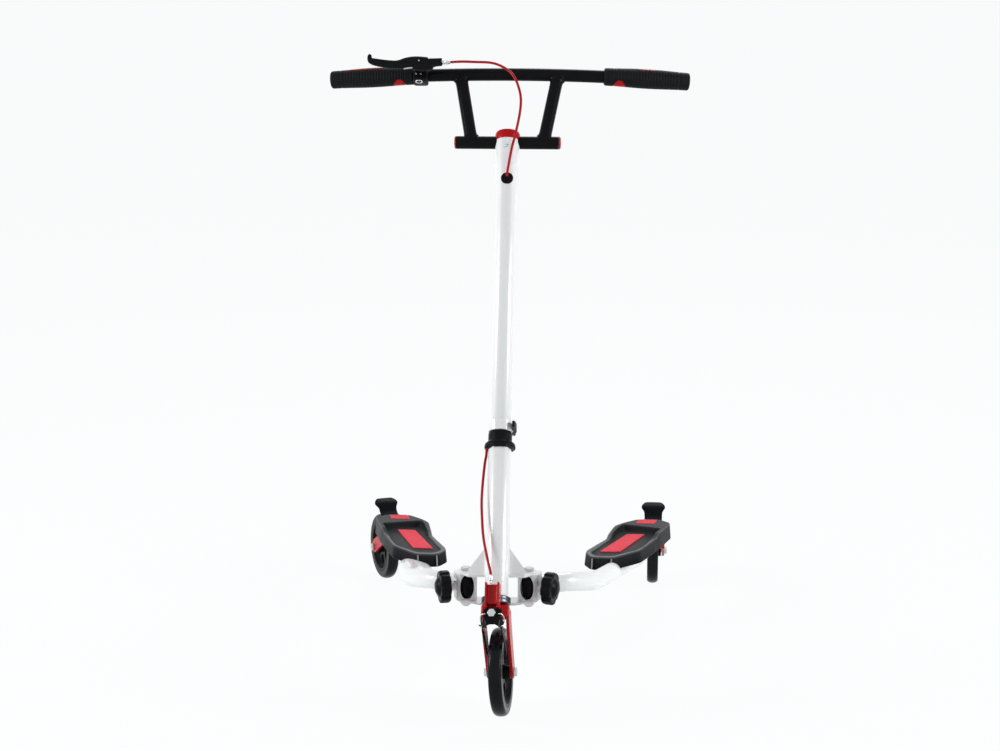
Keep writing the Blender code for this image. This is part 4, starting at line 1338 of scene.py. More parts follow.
    def springs(self) -> None:
        """Return springs: a wire from the hub outwards, back along the brake arm and hooked under it."""
        front = self.stack_front
        route = [(0.0086, front + 0.0030, -0.0010), (0.0125, front, -0.0014)]
        route += [(0.0160, front + 0.0010, -0.0020), (0.0186, front + 0.0050, -0.0050)]
        route += [(0.0192, front + 0.0100, -0.0110), (0.0184, front + 0.0100, -0.0175)]
        route += [(0.0150, front + 0.0060, -0.0200)]
        for side in Side:
            path = self.beside_bolt(curve(route, ROUTE_STEPS), side)
            wire = swept(path, self.spring, 14, up=(0.1, 1.0, 0.1))
            body = f"{side.word}_caliper"
            surface(f"{body}_spring", wire, FORK_FRAME, body, "bolt_steel", caps=True)

    def panel(self) -> None:
        """The plain face inside the hanger: a thin red plate, a circle bent almost to a rectangle."""
        wide, tall = squared(circle(96), 1 / 6)
        depth = np.array([0.0, 0.0095, 0.0102, 0.0104, 0.0099, 0.0099])[:, None]
        inset = np.array([0.0, 0.0, 0.0003, 0.0010, 0.0016, 0.0030])[:, None]
        x = (self.panel_size[0] - inset) * wide
        z = self.panel_height + (self.panel_size[1] - inset) * tall
        loop = np.stack([x, np.broadcast_to(self.hanger_back - depth, x.shape), z], axis=-1)
        surface("hanger_panel", loop, FORK_FRAME, "steering", "red_paint", caps=True)

    def ferrule(self) -> None:
        """The steel ferrule that the lower cable ends in, thicker where it holds the sleeve."""
        low, step, top = 0.2450, 0.2490, 0.2590
        profile = [(0, low), (0.0018, low), (0.0018, step), (0.0031, step + 0.0010), (0.0031, top), (0, top)]
        at = FORK_FRAME @ Matrix.Translation((*self.ferrule_at, 0))
        ring = lathe(profile, width=0.0003, steps=40)
        surface("cable_ferrule_turned", ring, at, "steering", "bolt_steel", ["cable_ferrule"])

    def build(self) -> None:
        """Makes the turned pieces and dresses the rest."""
        edges = {"fork": 0.0009, "front_axle": 0.0004, "brake_hanger": 0.0006, "caliper_bridge": 0.0}
        for node, edge in edges.items():
            refined(node, edge)
        for side in Side:
            refined(f"{side.word}_brake_pad", 0.0)
        self.collar()
        self.bolt()
        self.calipers()
        self.springs()
        self.panel()
        self.ferrule()


# Stations of X, Y, Z, half height and half depth, in the column's axes
LEVER_STATIONS: Rows = (
    (-0.1608, -0.0387, 1.1718, 0.0102, 0.0056),
    (-0.1666, -0.0395, 1.1711, 0.0108, 0.0062),
    (-0.1775, -0.0415, 1.1688, 0.0098, 0.0058),
    (-0.1850, -0.0430, 1.1664, 0.0084, 0.0050),
    (-0.1940, -0.0440, 1.1647, 0.0074, 0.0045),
    (-0.2050, -0.0443, 1.1650, 0.0073, 0.0043),
    (-0.2150, -0.0445, 1.1661, 0.0071, 0.0042),
    (-0.2250, -0.0448, 1.1677, 0.0067, 0.0042),
    (-0.2330, -0.0452, 1.1693, 0.0061, 0.0042),
    (-0.2384, -0.0458, 1.1712, 0.0052, 0.0040),
    (-0.2404, -0.0462, 1.1748, 0.0043, 0.0038),
    (-0.2406, -0.0464, 1.1788, 0.0037, 0.0034),
    (-0.2404, -0.0465, 1.1818, 0.0026, 0.0026),
    (-0.2402, -0.0465, 1.1823, 0.0012, 0.0012),
)
BRACKET_STATIONS: Rows = (
    (-0.1172, -0.0360, 1.1741, 0.0060, 0.0055),
    (-0.1176, -0.0360, 1.1741, 0.0066, 0.0060),
    (-0.1270, -0.0360, 1.1733, 0.0070, 0.0062),
    (-0.1335, -0.0360, 1.1720, 0.0084, 0.0068),
    (-0.1375, -0.0358, 1.1702, 0.0113, 0.0076),
    (-0.1430, -0.0355, 1.1700, 0.0126, 0.0084),
    (-0.1520, -0.0355, 1.1704, 0.0131, 0.0086),
    (-0.1610, -0.0360, 1.1711, 0.0126, 0.0084),
    (-0.1672, -0.0365, 1.1715, 0.0116, 0.0078),
    (-0.1685, -0.0366, 1.1715, 0.0104, 0.0068),
)
# Height of each row of the lever's clamp, where its middle lies backwards, half width and half depth
CLAMP_ROWS: Rows = (
    (1.1500, -0.0055, 0.0118, 0.0132),
    (1.1504, -0.0055, 0.0125, 0.0139),
    (1.1520, -0.0052, 0.0129, 0.0143),
    (1.1600, -0.0030, 0.0130, 0.0160),
    (1.1685, -0.0022, 0.0130, 0.0170),
    (1.1700, -0.0030, 0.0110, 0.0170),
    (1.1710, -0.0065, 0.0044, 0.0190),
    (1.1760, -0.0110, 0.0044, 0.0185),
    (1.1795, -0.0150, 0.0040, 0.0160),
)


@dataclass
class Column:
    """Upper column with its clamp, the bar, the grips and the brake lever.

    Attributes:
        radius: Radius of the column's lower part.
        foot: Height of its lower end.
        bar_radius: Radius of the bar, the cross tube and the uprights.
        bar_height: Height of the bar.
        bar_half: Half of the bar's length.
        bar_sweep: How far its ends stand back.
        cross_height: Height of the cross tube.
        cross_half: Half of the cross tube's length.
        upright: Where an upright stands on the cross tube and where it meets the bar, outwards.
        fillet: Height of the weld's fillet at an upright's ends, and the length over which it dies away.
        skirt: Height of the cap's lower edge.
        grip_from: Where a grip starts.
        overhang: How far a grip reaches past the bar's end.
        grip_radius: Radius of a grip at its ends.
        swell: How much thicker it is in its middle.
        rings: Rows of ridges on a grip.
        clamp_middle: Where along the bar the lever's clamp is.
    """

    radius: float = 0.0175
    foot: float = 0.5113
    bar_radius: float = 0.0111
    bar_height: float = 1.1690
    bar_half: float = 0.3100
    bar_sweep: float = 0.0245
    cross_height: float = 1.0380
    cross_half: float = 0.0885
    upright: tuple[float, float] = (0.0620, 0.0850)
    fillet: tuple[float, float] = (0.0030, 0.0024)
    skirt: float = 1.0392
    grip_from: float = 0.1650
    overhang: float = 0.0033
    grip_radius: float = 0.01575
    swell: float = 0.00175
    rings: int = 30
    clamp_middle: float = -0.1536

    @property
    def grip_long(self) -> float:
        """Length of a grip."""
        return self.bar_half + self.overhang - self.grip_from

    @property
    def cross_spot(self) -> Matrix:
        """From axes at the middle of the cross tube to the model's."""
        return column_at(0, 0, self.cross_height)

    def bar_line(self, x: np.ndarray) -> np.ndarray:
        """The bowed line of the bar: y = sweep (x / half)^2.

        Args:
            x: Distances from the middle.

        Returns:
            Points in the column's axes.
        """
        back = self.bar_sweep * (x / self.bar_half) ** 2
        return np.stack([x, back, np.full_like(x, self.bar_height)], axis=-1)

    def stem(self) -> None:
        """The white upper column, one turned surface that widens towards the cross tube."""
        radius, low, floor, top = self.radius, self.foot, 0.985, 1.0500
        bore = STEERER_RADIUS + PLAY
        cone = [(radius, 0.900), (radius, 0.930), (0.0183, 0.955)]
        cone += [(0.0200, 0.990), (0.0210, 1.020), (0.0210, 1.049)]
        socket = [(0, floor), (bore, floor), (bore, low), (radius - 0.0003, low), (radius, low + 0.0004)]
        profile = [*socket, *curve(cone, ROUTE_STEPS).tolist(), (0.0206, top), (0, top)]
        surface("column_tube", turned(profile, 128), COLUMN_FRAME, "column", "white", ["upper_column"])

    def tubes(self) -> None:
        """Bar, cross tube and uprights."""
        share = np.linspace(0, 1, 160)
        ring = swept(self.bar_line(self.bar_half * (2 * share - 1)), self.bar_radius, 56)
        surface("bar_tube", ring, COLUMN_FRAME, "column", "black_metal", ["handlebar"], caps=True)
        radius, half = self.bar_radius, self.cross_half
        cross = lathe([(0, -half), (radius, -half), (radius, half), (0, half)], width=0.0008)
        surface("cross_tube", cross, self.cross_spot @ ALONG_X, "column", "black_metal")
        bow = self.bar_sweep * (self.upright[1] / self.bar_half) ** 2
        for side in Side:
            foot = np.array((side.value * self.upright[0], 0, self.cross_height))
            top = np.array((side.value * self.upright[1], bow, self.bar_height))
            length = float(np.linalg.norm(top - foot))

            def fillet(angle: np.ndarray, along: np.ndarray) -> np.ndarray:
                """Height of the fillet: h |cos a| exp(-d / w), d from the tube that an upright meets.

                Args:
                    angle: Angle round the upright.
                    along: Share of its length.

                Returns:
                    What is added to the radius.
                """
                facing = np.abs(np.cos(angle))
                clear = length * np.minimum(along, 1 - along) - self.bar_radius * facing
                return self.fillet[0] * facing * np.exp(-np.clip(clear, 0, None) / self.fillet[1])

            path = foot + (top - foot) * share[:, None]
            tube = swept(path, self.bar_radius - SKIN, 56, up=(0.0, 1.0, 0.0), relief=fillet)
            surface(f"{side.word}_upright", tube, COLUMN_FRAME, "column", "black_metal", caps=True)

    def caps(self) -> None:
        """Domed cap with its screw, the cross tube's end plugs and the grommet of the cable."""
        top, skirt = 1.0503, self.skirt
        dome = [(0.0214, 1.0525), (0.0200, 1.0553), (0.0160, 1.0572)]
        dome += [(0.0100, 1.0588), (0.0040, 1.0594), (0, 1.0595)]
        side_wall = [(0, top), (0.0211, top), (0.0211, skirt), (0.0215, skirt), (0.0217, skirt + 0.0006)]
        cap = turned([*side_wall, *curve(dome, 5).tolist()])
        surface("column_dome", cap, COLUMN_FRAME, "column", "red_plastic", ["column_cap"])
        head = [(0, 0), (0.0034, 0), (0.0034, 0.0008), (0.0026, 0.0018)]
        head += [(0.0015, 0.0022), (0.0013, 0.0012), (0, 0.0012)]
        at = column_at(-0.0010, -0.0208, 1.0232) @ ALONG_Y
        screw = lathe(head, width=0.0002, steps=40)
        surface("column_screw", screw, at, "column", "bolt_steel")
        end = self.cross_half + CLEARANCE
        nose = [(0, end), (0.0110, end), (0.0110, end + 0.0014), (0.0086, end + 0.0030), (0, end + 0.0036)]
        plug = lathe(nose, width=0.0005, steps=72)
        for side in Side:
            at = self.cross_spot @ mirrored(side) @ ALONG_X
            nodes = [f"{side.word}_crossbar_cap"]
            surface(f"{side.word}_cross_plug", plug, at, "column", "red_plastic", nodes)
        back, lip, front = 0.0168, 0.0196, 0.0206
        outside = [(0, back), (0.0105, back), (0.0105, 0.0194), (0.0090, front), (0.0042, front)]
        ring = lathe([*outside, (0.0034, lip), (0, lip)], width=0.0005, steps=72)
        at = column_at(0.0014, 0, 0.9630) @ ALONG_Y
        surface("cable_gland", ring, at, "column", "black_rubber", ["cable_grommet"])

    def grip_radius_at(self, share: np.ndarray) -> np.ndarray:
        """Radius of a grip without its ridges: R + swell sin(pi s)^2, rounded at both ends.

        Args:
            share: Share of its length.

        Returns:
            The radius.
        """
        plain = self.grip_radius + self.swell * np.sin(pi * share) ** 2 - 0.0004
        return rounded_ends(plain, share, cut=0.030, drop=0.0030)

    def grip_relief(self, angle: np.ndarray, along: np.ndarray) -> np.ndarray:
        """Depth of a grip's rings: rounded grooves between plain collars, with two smooth panels lengthwise.

        Args:
            angle: Angle round the grip.
            along: Share of its length.

        Returns:
            What is added to the radius, which is never above nought.
        """
        collar_low, collar_high, fade = 0.13, 0.86, 0.02
        middle = np.clip((along - collar_low) / fade, 0, 1) * np.clip((collar_high - along) / fade, 0, 1)
        panel = np.clip(np.abs(np.cos(angle - pi / 2)) * 4 - 2.6, 0, 1)
        groove = 0.5 + 0.5 * np.cos(2 * pi * self.rings * along)
        edges = bell(along - 0.115, 0.006) + bell(along - 0.880, 0.006)
        return -0.0009 * middle * (1 - panel) * groove**2 - 0.0007 * edges

    def grip(self, side: Side) -> None:
        """A rubber grip: fine rings between plain collars, cut by two lengthwise panels.

        Args:
            side: The rider's side.
        """
        share = np.linspace(0, 1, 420)
        path = self.bar_line(side.value * (self.grip_from + HAIR + self.grip_long * share))
        ring = swept(path, self.grip_radius_at(share), 80, relief=self.grip_relief)
        name = f"{side.word}_grip"
        surface(f"{name}_moulded", ring, COLUMN_FRAME, "column", "grip_rubber", [name], caps=True)

    def inlay(
        self, side: Side, name: str, half: tuple[float, float], spot: tuple[float, float], cut: float
    ) -> None:
        """A red inlay: an ellipse laid on a grip's round, at angle a0 + w u sin v and length s0 + l u cos v.

        Args:
            side: The rider's side.
            name: Last word of its name.
            half: Half of its length as a share of the grip's, and half of its width as an angle.
            spot: Its middle, as a share of the grip's length and an angle from the front upwards.
            cut: Where the ellipse is cut off below, from -1 for nowhere to 0 for half.
        """
        u = np.linspace(0, 1, 14)[:, None]
        v = np.linspace(0, 2 * pi, 64, endpoint=False)[None, :]
        along = spot[0] + half[0] * u * np.cos(v)
        angle = spot[1] + half[1] * np.maximum(u * np.sin(v), cut)
        line = self.bar_line(side.value * (self.grip_from + self.grip_long * along))
        lift = 0.00025 * np.sqrt(np.clip(1 - u**6, 0, 1)) - 0.0003 * (u > 0.99)
        reach = self.grip_radius_at(along) + lift
        face = np.stack([0 * angle, -np.cos(angle), np.sin(angle)], axis=-1)
        patch = line + face * reach[..., None]
        surface(f"{side.word}_grip_{name}", patch, COLUMN_FRAME, "column", "red_plastic")

    def clamp(self) -> None:
        """Clamp of the column: the band in the column's white, its skewer and its lever."""
        refined("clamp_band", 0.0005, slot="white")
        refined("clamp_skewer", 0.0003)
        refined("clamp_lever", 0.0008)

    def bar_of(self, name: str, stations: Rows, body: str, node: str) -> None:
        """A moulded bar: a squared ellipse carried along the cubic through its stations.

        Args:
            name: Name of the piece.
            stations: X, Y, Z, half height and half depth in the column's axes.
            body: Body that it rides on.
            node: Node that it stands for.
        """
        line = curve(stations, ROUTE_STEPS)
        tall = line[:, 3]
        ring = swept(line[:, :3], tall, 48, up=(0.0, 1.0, 0.0), flat=line[:, 4] / tall, square=0.7)
        surface(name, ring, COLUMN_FRAME, body, "black_plastic", [node], caps=True)

    def lever(self) -> None:
        """Brake lever with its upturned tip, the bracket's body and the block that clamps it to the bar."""
        self.bar_of("brake_lever_blade", LEVER_STATIONS, "brake_lever", "brake_lever")
        self.bar_of("lever_bracket_body", BRACKET_STATIONS, "column", "lever_bracket")
        height, back, half_wide, half_deep = (part[:, None] for part in np.array(CLAMP_ROWS).T)
        wide, deep = squared(circle(80), 0.35)
        across = self.clamp_middle + half_wide * wide
        block = np.stack([across, back + half_deep * deep, np.broadcast_to(height, across.shape)], axis=-1)
        surface("lever_bracket_clamp", block, COLUMN_FRAME, "column", "black_plastic", caps=True)

    def lever_hardware(self) -> None:
        """Barrel adjuster, the lever's pivot, the clamp's screws and washer, and the spring's end."""
        wide, neck = 0.0040, 0.0034
        start, end = -0.1182, -0.1015
        groove = [(wide, -0.1110), (neck, -0.1105), (neck, -0.1095), (wide, -0.1090)]
        profile = [(0, start), (wide, start), *groove, (wide, -0.1060), (0.0032, end), (0, end)]
        barrel = lathe(profile, width=0.0003, steps=48)
        at = column_at(0, -0.0360, 1.1741) @ ALONG_X
        surface("adjuster_barrel", barrel, at, "column", "bolt_steel", ["barrel_adjuster"])
        head = [(0, 0), (0.0013, 0), (0.0013, 0.0010), (0.0009, 0.0014), (0, 0.0014)]
        button = lathe(head, width=0.0002, steps=32)
        spots = ((-0.1553, -0.0435, 1.1728), (-0.1612, -0.0189, 1.1600), (-0.1536, -0.0189, 1.1600))
        for number, spot in enumerate(spots):
            surface(f"bracket_screw_{number}", button, column_at(*spot) @ ALONG_Y, "column", "bolt_steel")
        inner, outer, low, high = 0.0040, 0.0066, 1.1493, 1.1502
        ring = [(inner, low), (outer, low), (outer, high), (inner, high)]
        washer = lathe(ring, width=0.0002, steps=56, closed=True)
        surface("bracket_washer", washer, column_at(-0.1565, -0.0095, 0), "column", "bolt_steel")
        wire = curve([(-0.1665, -0.0410, 1.1608), (-0.1745, -0.0425, 1.1590), (-0.1811, -0.0430, 1.1573)], 6)
        hook = swept(wire, radius=0.0013, sides=16)
        surface("lever_spring_end", hook, COLUMN_FRAME, "column", "bolt_steel", caps=True)

    def build(self) -> None:
        """Makes the column's pieces."""
        self.stem()
        self.tubes()
        self.caps()
        self.clamp()
        self.lever()
        self.lever_hardware()
        for side in Side:
            self.grip(side)
            middle, half = (0.61, 0.250) if side is Side.RIGHT else (0.52, 0.125)
            self.inlay(side, "strip", (half, 0.25), (middle, radians(50)), -1.0)
            self.inlay(side, "spot", (0.072, 1.03), (0.184, radians(-104)), 0.0)


# Outlines of a footboard and of the tray sunk in it, outward and backward from its centre
BOARD_OUTLINE: Rows = (
    (-0.0180, -0.1340),
    (0.0180, -0.1210),
    (0.0443, -0.0555),
    (0.0429, 0.0556),
    (0.0378, 0.1254),
    (0.0090, 0.1397),
    (-0.0282, 0.1246),
    (-0.0442, 0.0896),
    (-0.0507, 0.0622),
    (-0.0400, -0.0013),
    (-0.0419, -0.1076),
)
TRAY_OUTLINE: Rows = (
    (-0.0140, -0.1180),
    (0.0135, -0.1080),
    (0.0345, -0.0530),
    (0.0335, 0.0760),
    (-0.0385, 0.0760),
    (-0.0400, 0.0610),
    (-0.0310, -0.0040),
    (-0.0330, -0.0985),
)


@dataclass
class Arm:
    """A swinging arm with its knob and footboard.

    Attributes:
        side: The rider's side.
        angle: Degrees that it stands outward at rest.
        path: The tube's route as outward, backward, height and radius, on the left side.
        knuckle_to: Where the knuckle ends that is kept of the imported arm, backwards from the pin.
        swivel_from: Where the swivel's boss starts that is kept of it.
        saddles: Places of the footboard's saddles, outward and backward.
        hinge_oval: Half width and half height of the bushing as the hinge's plate leaves it free.
        hinge_box: Half width and half height of that plate.
        knob_start: Where a knob's face starts, outward from the pin.
        knob_radius: Radius of a knob.
        toe: Degrees that the footboard is turned against the arm.
        deck: Place of the footboard's centre, outward and backward.
        deck_rim: Height of the footboard's rim before it climbs to the platform.
        deck_climb: How far it climbs.
        deck_foot: Height of its lower edge.
        deck_floor: Height of its tray's floor.
        deck_ceiling: Height of its underside.
        deck_wall: How far its wall flares out below, and how thick it is there.
    """

    side: Side
    angle: float
    path: Rows = (
        (0.0030, 0.0165, 0.2000, 0.0159),
        (0.0060, 0.0300, 0.2000, 0.0159),
        (0.0265, 0.0480, 0.1995, 0.0159),
        (0.0455, 0.0680, 0.1985, 0.0159),
        (0.0600, 0.1050, 0.1905, 0.0159),
        (0.0640, 0.1560, 0.1790, 0.0159),
        (0.0490, 0.2860, 0.1560, 0.0159),
        (0.0170, 0.3720, 0.1270, 0.0159),
        (-0.0080, 0.4370, 0.1044, 0.0159),
        (-0.0020, 0.5200, 0.1010, 0.0159),
        (0.0030, 0.5860, 0.1005, 0.0159),
        (0.0020, 0.6350, 0.1015, 0.0159),
        (0.0005, 0.6700, 0.1050, 0.0113),
        (0.0000, 0.6960, 0.1050, 0.0113),
    )
    knuckle_to: float = 0.0172
    swivel_from: float = 0.6865
    saddles: Rows = ((-0.0075, 0.470), (0.0040, 0.610))
    hinge_oval: tuple[float, float] = (0.0115, 0.0203)
    hinge_box: tuple[float, float] = (0.0124, 0.0217)
    knob_start: float = 0.0315
    knob_radius: float = 0.02675
    toe: float = 3.66
    deck: tuple[float, float] = (-0.0025, 0.5465)
    deck_rim: float = 0.1420
    deck_climb: float = 0.0060
    deck_foot: float = 0.1180
    deck_floor: float = 0.1365
    deck_ceiling: float = 0.1320
    deck_wall: float = 0.0035

    @property
    def name(self) -> str:
        """The arm's body, and the first words of its pieces."""
        return f"{self.side.word}_arm"

    @property
    def pivot(self) -> Matrix:
        """The arm's axes on its pin, turned by its angle but not mirrored.

        Returns:
            The matrix from them to the model's.
        """
        place = Vector(joint(f"{self.name}_swing")["pos_m"])
        place.z = GROUND.z
        return Matrix.Translation(place) @ Matrix.Rotation(radians(-self.side.value * self.angle), 4, "Z")

    @property
    def matrix(self) -> Matrix:
        """From the left arm's axes to this arm's, mirrored for the right."""
        return self.pivot @ mirrored(self.side)

    @property
    def board(self) -> Matrix:
        """From the footboard's own axes to the model's."""
        return self.matrix @ Matrix.Translation((*self.deck, 0)) @ Matrix.Rotation(radians(-self.toe), 4, "Z")

    def tube(self) -> None:
        """The bent tube, one smooth bar along the curve through its route."""
        line = curve(self.path, 14)
        ring = swept(line[:, :3], line[:, 3], 56)
        surface(f"{self.name}_tube", ring, self.matrix, self.name, "white", [self.name], caps=True)

    def hardware(self) -> None:
        """Knuckle, swivel boss and saddles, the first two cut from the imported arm."""
        parts = (("knuckle", self.knuckle_to, -1, 0.0007), ("swivel", self.swivel_from, 1, 0.0006))
        for word, cut, way, edge in parts:
            plane = (self.pivot @ Vector((0, cut, 0)), self.pivot.to_3x3() @ Vector((0, way, 0)))
            refined(self.name, edge, plane, word)
        wide, long = squared(circle(64), 0.25)
        height = np.array([0.1020, 0.1180, 0.1300, 0.1317])[:, None]
        shrink = np.array([1.0, 1.0, 1.0, 0.93])[:, None]
        for number, (x, y) in enumerate(self.saddles):
            across, back = x + 0.0110 * shrink * wide, y + 0.0150 * shrink * long
            loop = np.stack([across, back, np.broadcast_to(height, across.shape)], axis=-1)
            surface(f"{self.name}_saddle_{number}", loop, self.matrix, self.name, "white", caps=True)

    def hinge_face(self) -> None:
        """A thin plate round the bushing, in the knuckle's corners: rings from an oval to a rectangle."""
        count = 120
        wide, tall = circle(count)
        oval = squared(circle(count), 0.9).T * np.array(self.hinge_oval)
        sides = [half / np.maximum(np.abs(way), 1e-6) for half, way in zip(self.hinge_box, (wide, tall))]
        box = np.minimum(*sides)[:, None] * np.stack([wide, tall], axis=-1)
        lip, face, back = -0.0104, -0.0106, -0.0086
        loops = [(oval, lip), (0.5 * (oval + box), face), (box, face), (box, back), (oval, back), (oval, lip)]
        rows = [np.stack([loop[:, 0], np.full(count, y), YOKE_MIDDLE + loop[:, 1]], -1) for loop, y in loops]
        surface(f"{self.name}_hinge_face", np.stack(rows), self.matrix, self.name, "white")

    def knob(self) -> None:
        """The hand knob with its stud: a turned disc with a domed middle, a groove and a scalloped rim."""

        def scallop(angle: np.ndarray, radius: np.ndarray) -> np.ndarray:
            """The scallops, -d max(0, -cos 8a)^0.7, fading out from the rim to the middle.

            Args:
                angle: Angle round.
                radius: Radius there.

            Returns:
                What is added to the radius.
            """
            fade = np.clip((radius - 0.0180) / 0.0060, 0, 1)
            return -0.0024 * fade * np.clip(-np.cos(8 * angle), 0, 1) ** 0.7

        start, full = self.knob_start, self.knob_radius - HAIR
        low, stud_end = start - 0.0045, start + 0.001
        back = [(0, start), (0.0190, start), (0.0195, low), (0.0252, low + 0.0010), (full, low + 0.0035)]
        rim = [(full, start + 0.0100), (0.0262, start + 0.0122), (0.0235, start + 0.0134)]
        rim += [(0.0190, start + 0.0136)]
        groove = [(0.0176, start + 0.0129), (0.0160, start + 0.0140)]
        dome = [(0.0125, start + 0.0172), (0.0080, start + 0.0194), (0, start + 0.0204)]
        body, word = f"{self.side.word}_knob", self.side.word
        at = self.matrix @ Matrix.Translation((0, 0, YOKE_MIDDLE)) @ ALONG_X
        disc = lathe([*back, *rim, *groove, *dome], width=0.0008, steps=192, ripple=scallop)
        surface(f"{word}_knob_moulded", disc, at, body, "black_plastic", [f"{word}_tension_knob"])
        shaft = [(0, 0.0118), (0.0040, 0.0118), (0.0040, stud_end), (0, stud_end)]
        stud = lathe(shaft, width=0.0006, steps=40)
        surface(f"{word}_knob_stud", stud, at, body, "black_metal")

    def top_at(self, spots: np.ndarray) -> np.ndarray:
        """Height of the footboard's rim and platform: a smooth step up, later on the outward side.

        Args:
            spots: Places, outward and backward on the footboard.

        Returns:
            The height at each.
        """
        start = 0.0270 + 0.0235 * spots[..., 0] / 0.0430
        return self.deck_rim + self.deck_climb * eased((spots[..., 1] - start + 0.016) / 0.020)

    def footboard(self) -> None:
        """The moulded footboard: rings about a centre, from its tray out to its rim and round below.

        Between tray and rim, z = floor + (top - floor) step(distance from the tray). Below the rim the wall
        flares out to its foot and comes back under the floor, so the shell is closed. The rim and its outer
        edge carry a painted highlight, strongest in front, and the tray's floor a faint one.
        """
        centre, chamfer = np.array((-0.0030, -0.0200)), 0.0016
        outline = evenly(BOARD_OUTLINE, count=480, soft=7)
        ways = outline - centre
        far = np.linalg.norm(ways, axis=1)
        ways = ways / far[:, None]
        tray = reach_of(TRAY_OUTLINE, centre, ways)
        tray = np.mean([np.roll(tray, shift) for shift in range(-7, 8)], axis=0)
        inner = np.linspace(0, 1, 8)[:-1, None]
        outer = (np.linspace(0, 1, 34) ** 1.5)[:, None]
        spread = far - chamfer - tray
        away = np.concatenate([tray * inner, tray + spread * outer])
        from_tray = np.concatenate([0 * inner * tray, spread * outer])
        spots = centre + ways * away[..., None]
        ahead = eased((0.030 - spots[..., 1]) / 0.050)
        step = eased(from_tray / (0.0048 + 0.0040 * ahead))
        height = self.deck_floor + (self.top_at(spots) - self.deck_floor) * step
        # Painted highlight: faint on the tray's floor, strong on the rim's climb and most in front, and a band
        # along the outer edge
        pale = 0.10 * (1 - step) + (0.18 + 0.57 * ahead) * eased((from_tray - 0.0022) / 0.0030)
        pale = pale + 0.30 * bell(away - far + chamfer, 0.0012)
        foot, wall = self.deck_foot, self.deck_wall
        lip = self.top_at(outline) - 0.0015
        # Rows round the wall and under the shell, as reach, height and share of painted highlight
        rows = (
            (far, lip, 0.30),
            (far + 0.0004, lip - 0.0030, 0.05),
            (far + wall, foot + 0.0010, 0.0),
            (far + wall - 0.0008, foot, 0.0),
            (far - 0.0002, foot, 0.0),
            (far - wall, self.deck_ceiling, 0.0),
            (0 * far, self.deck_ceiling, 0.0),
        )
        for reach, level, share in rows:
            spots = np.concatenate([spots, (centre + ways * reach[:, None])[None]])
            height = np.concatenate([height, np.broadcast_to(level, (1, len(far)))])
            pale = np.concatenate([pale, np.full((1, len(far)), share)])
        points = placed(np.concatenate([spots, height[..., None]], axis=-1), self.board)
        name, node = f"{self.side.word}_footboard", f"{self.side.word}_deck"
        made = piece(name, grid_mesh(name, points, pale=pale), self.name, "charcoal_plastic", [node])
        log.info("%s has %d faces", made.name, len(made.data.polygons))

    def nose(self) -> None:
        """Two ribs down the corners of the footboard's front face, pale all over as a painted highlight on
        those corners.
        """
        share = np.linspace(0, 1, 24)
        radius = rounded_ends(np.full_like(share, 0.0013), share, cut=0.10, drop=0.0008)
        fall = np.array((0.0, -0.0028, -0.0200))
        for number, top in enumerate(((-0.0165, -0.1352, 0.1395), (0.0158, -0.1232, 0.1395))):
            rib = swept(np.array(top) + fall * share[:, None], radius, 16, up=(0.0, 1.0, 0.0))
            name = f"{self.side.word}_footboard_rib_{number}"
            # The ribs take the full painted highlight
            mesh = grid_mesh(name, placed(rib, self.board), caps=True, pale=np.ones(rib.shape[:2]))
            piece(name, mesh, self.name, "charcoal_plastic")

    def insert(self, word: str, corners: Rows, low: float, high: float) -> None:
        """A rubber insert: a patch between four corners with crossed ribs and a rolled rim, closed below.

        With p the pitch, the ribs follow sin(pi (a + b) / p) sin(pi (a - b) / p), a and b being the distances
        along its sides.

        Args:
            word: Front or rear.
            corners: Its corners, outward and backward on the footboard.
            low: Height of its underside.
            high: Height of its top.
        """
        pitch, deep, roll_deep, roll_wide, rows, columns = 0.0032, 0.00045, 0.0006, 0.0012, 130, 90
        ends = np.array(corners)
        u = np.linspace(0, 1, rows)[:, None, None]
        v = np.linspace(0, 1, columns)[None, :, None]
        flat = (1 - u) * ((1 - v) * ends[0] + v * ends[3]) + u * ((1 - v) * ends[1] + v * ends[2])
        long = np.linalg.norm(ends[1] - ends[0])
        wide = np.linalg.norm(ends[3] - ends[0])
        edge = np.minimum(np.minimum(u, 1 - u) * long, np.minimum(v, 1 - v) * wide)[..., 0]
        roll = roll_deep * np.sqrt(np.clip(1 - (1 - np.clip(edge / roll_wide, 0, 1)) ** 2, 0, 1)) - roll_deep
        first = u[..., 0] * long / pitch * pi
        second = v[..., 0] * wide / pitch * pi
        cross = np.sin(first + second) * np.sin(first - second)
        relief = deep * (np.clip(cross * 1.6, -1, 1) - 1) * np.clip((edge - 0.0014) / 0.0006, 0, 1)
        top = np.concatenate([flat, (high - HAIR + roll + relief)[..., None]], axis=-1)
        under = np.concatenate([flat[:, ::-1], np.full((rows, columns, 1), low)], axis=-1)[:, [0, -1]]
        node = f"{self.side.word}_{word}_insert"
        whole = np.concatenate([top, under], axis=1)
        surface(node + "_ribbed", whole, self.board, self.name, "coral_rubber", [node], caps=True)

    def build(self) -> None:
        """Makes the arm's pieces and dresses its footboard."""
        self.tube()
        self.hardware()
        self.hinge_face()
        self.knob()
        self.footboard()
        self.nose()
        front = ((0.0110, -0.0685), (0.0095, 0.0607), (-0.0208, 0.0479), (-0.0223, -0.0824))
        rear = ((0.0115, 0.1060), (0.0085, 0.1315), (-0.0245, 0.1210), (-0.0215, 0.0945))
        self.insert("front", front, low=0.1368, high=0.1390)
        self.insert("rear", rear, low=0.1468, high=0.1490)


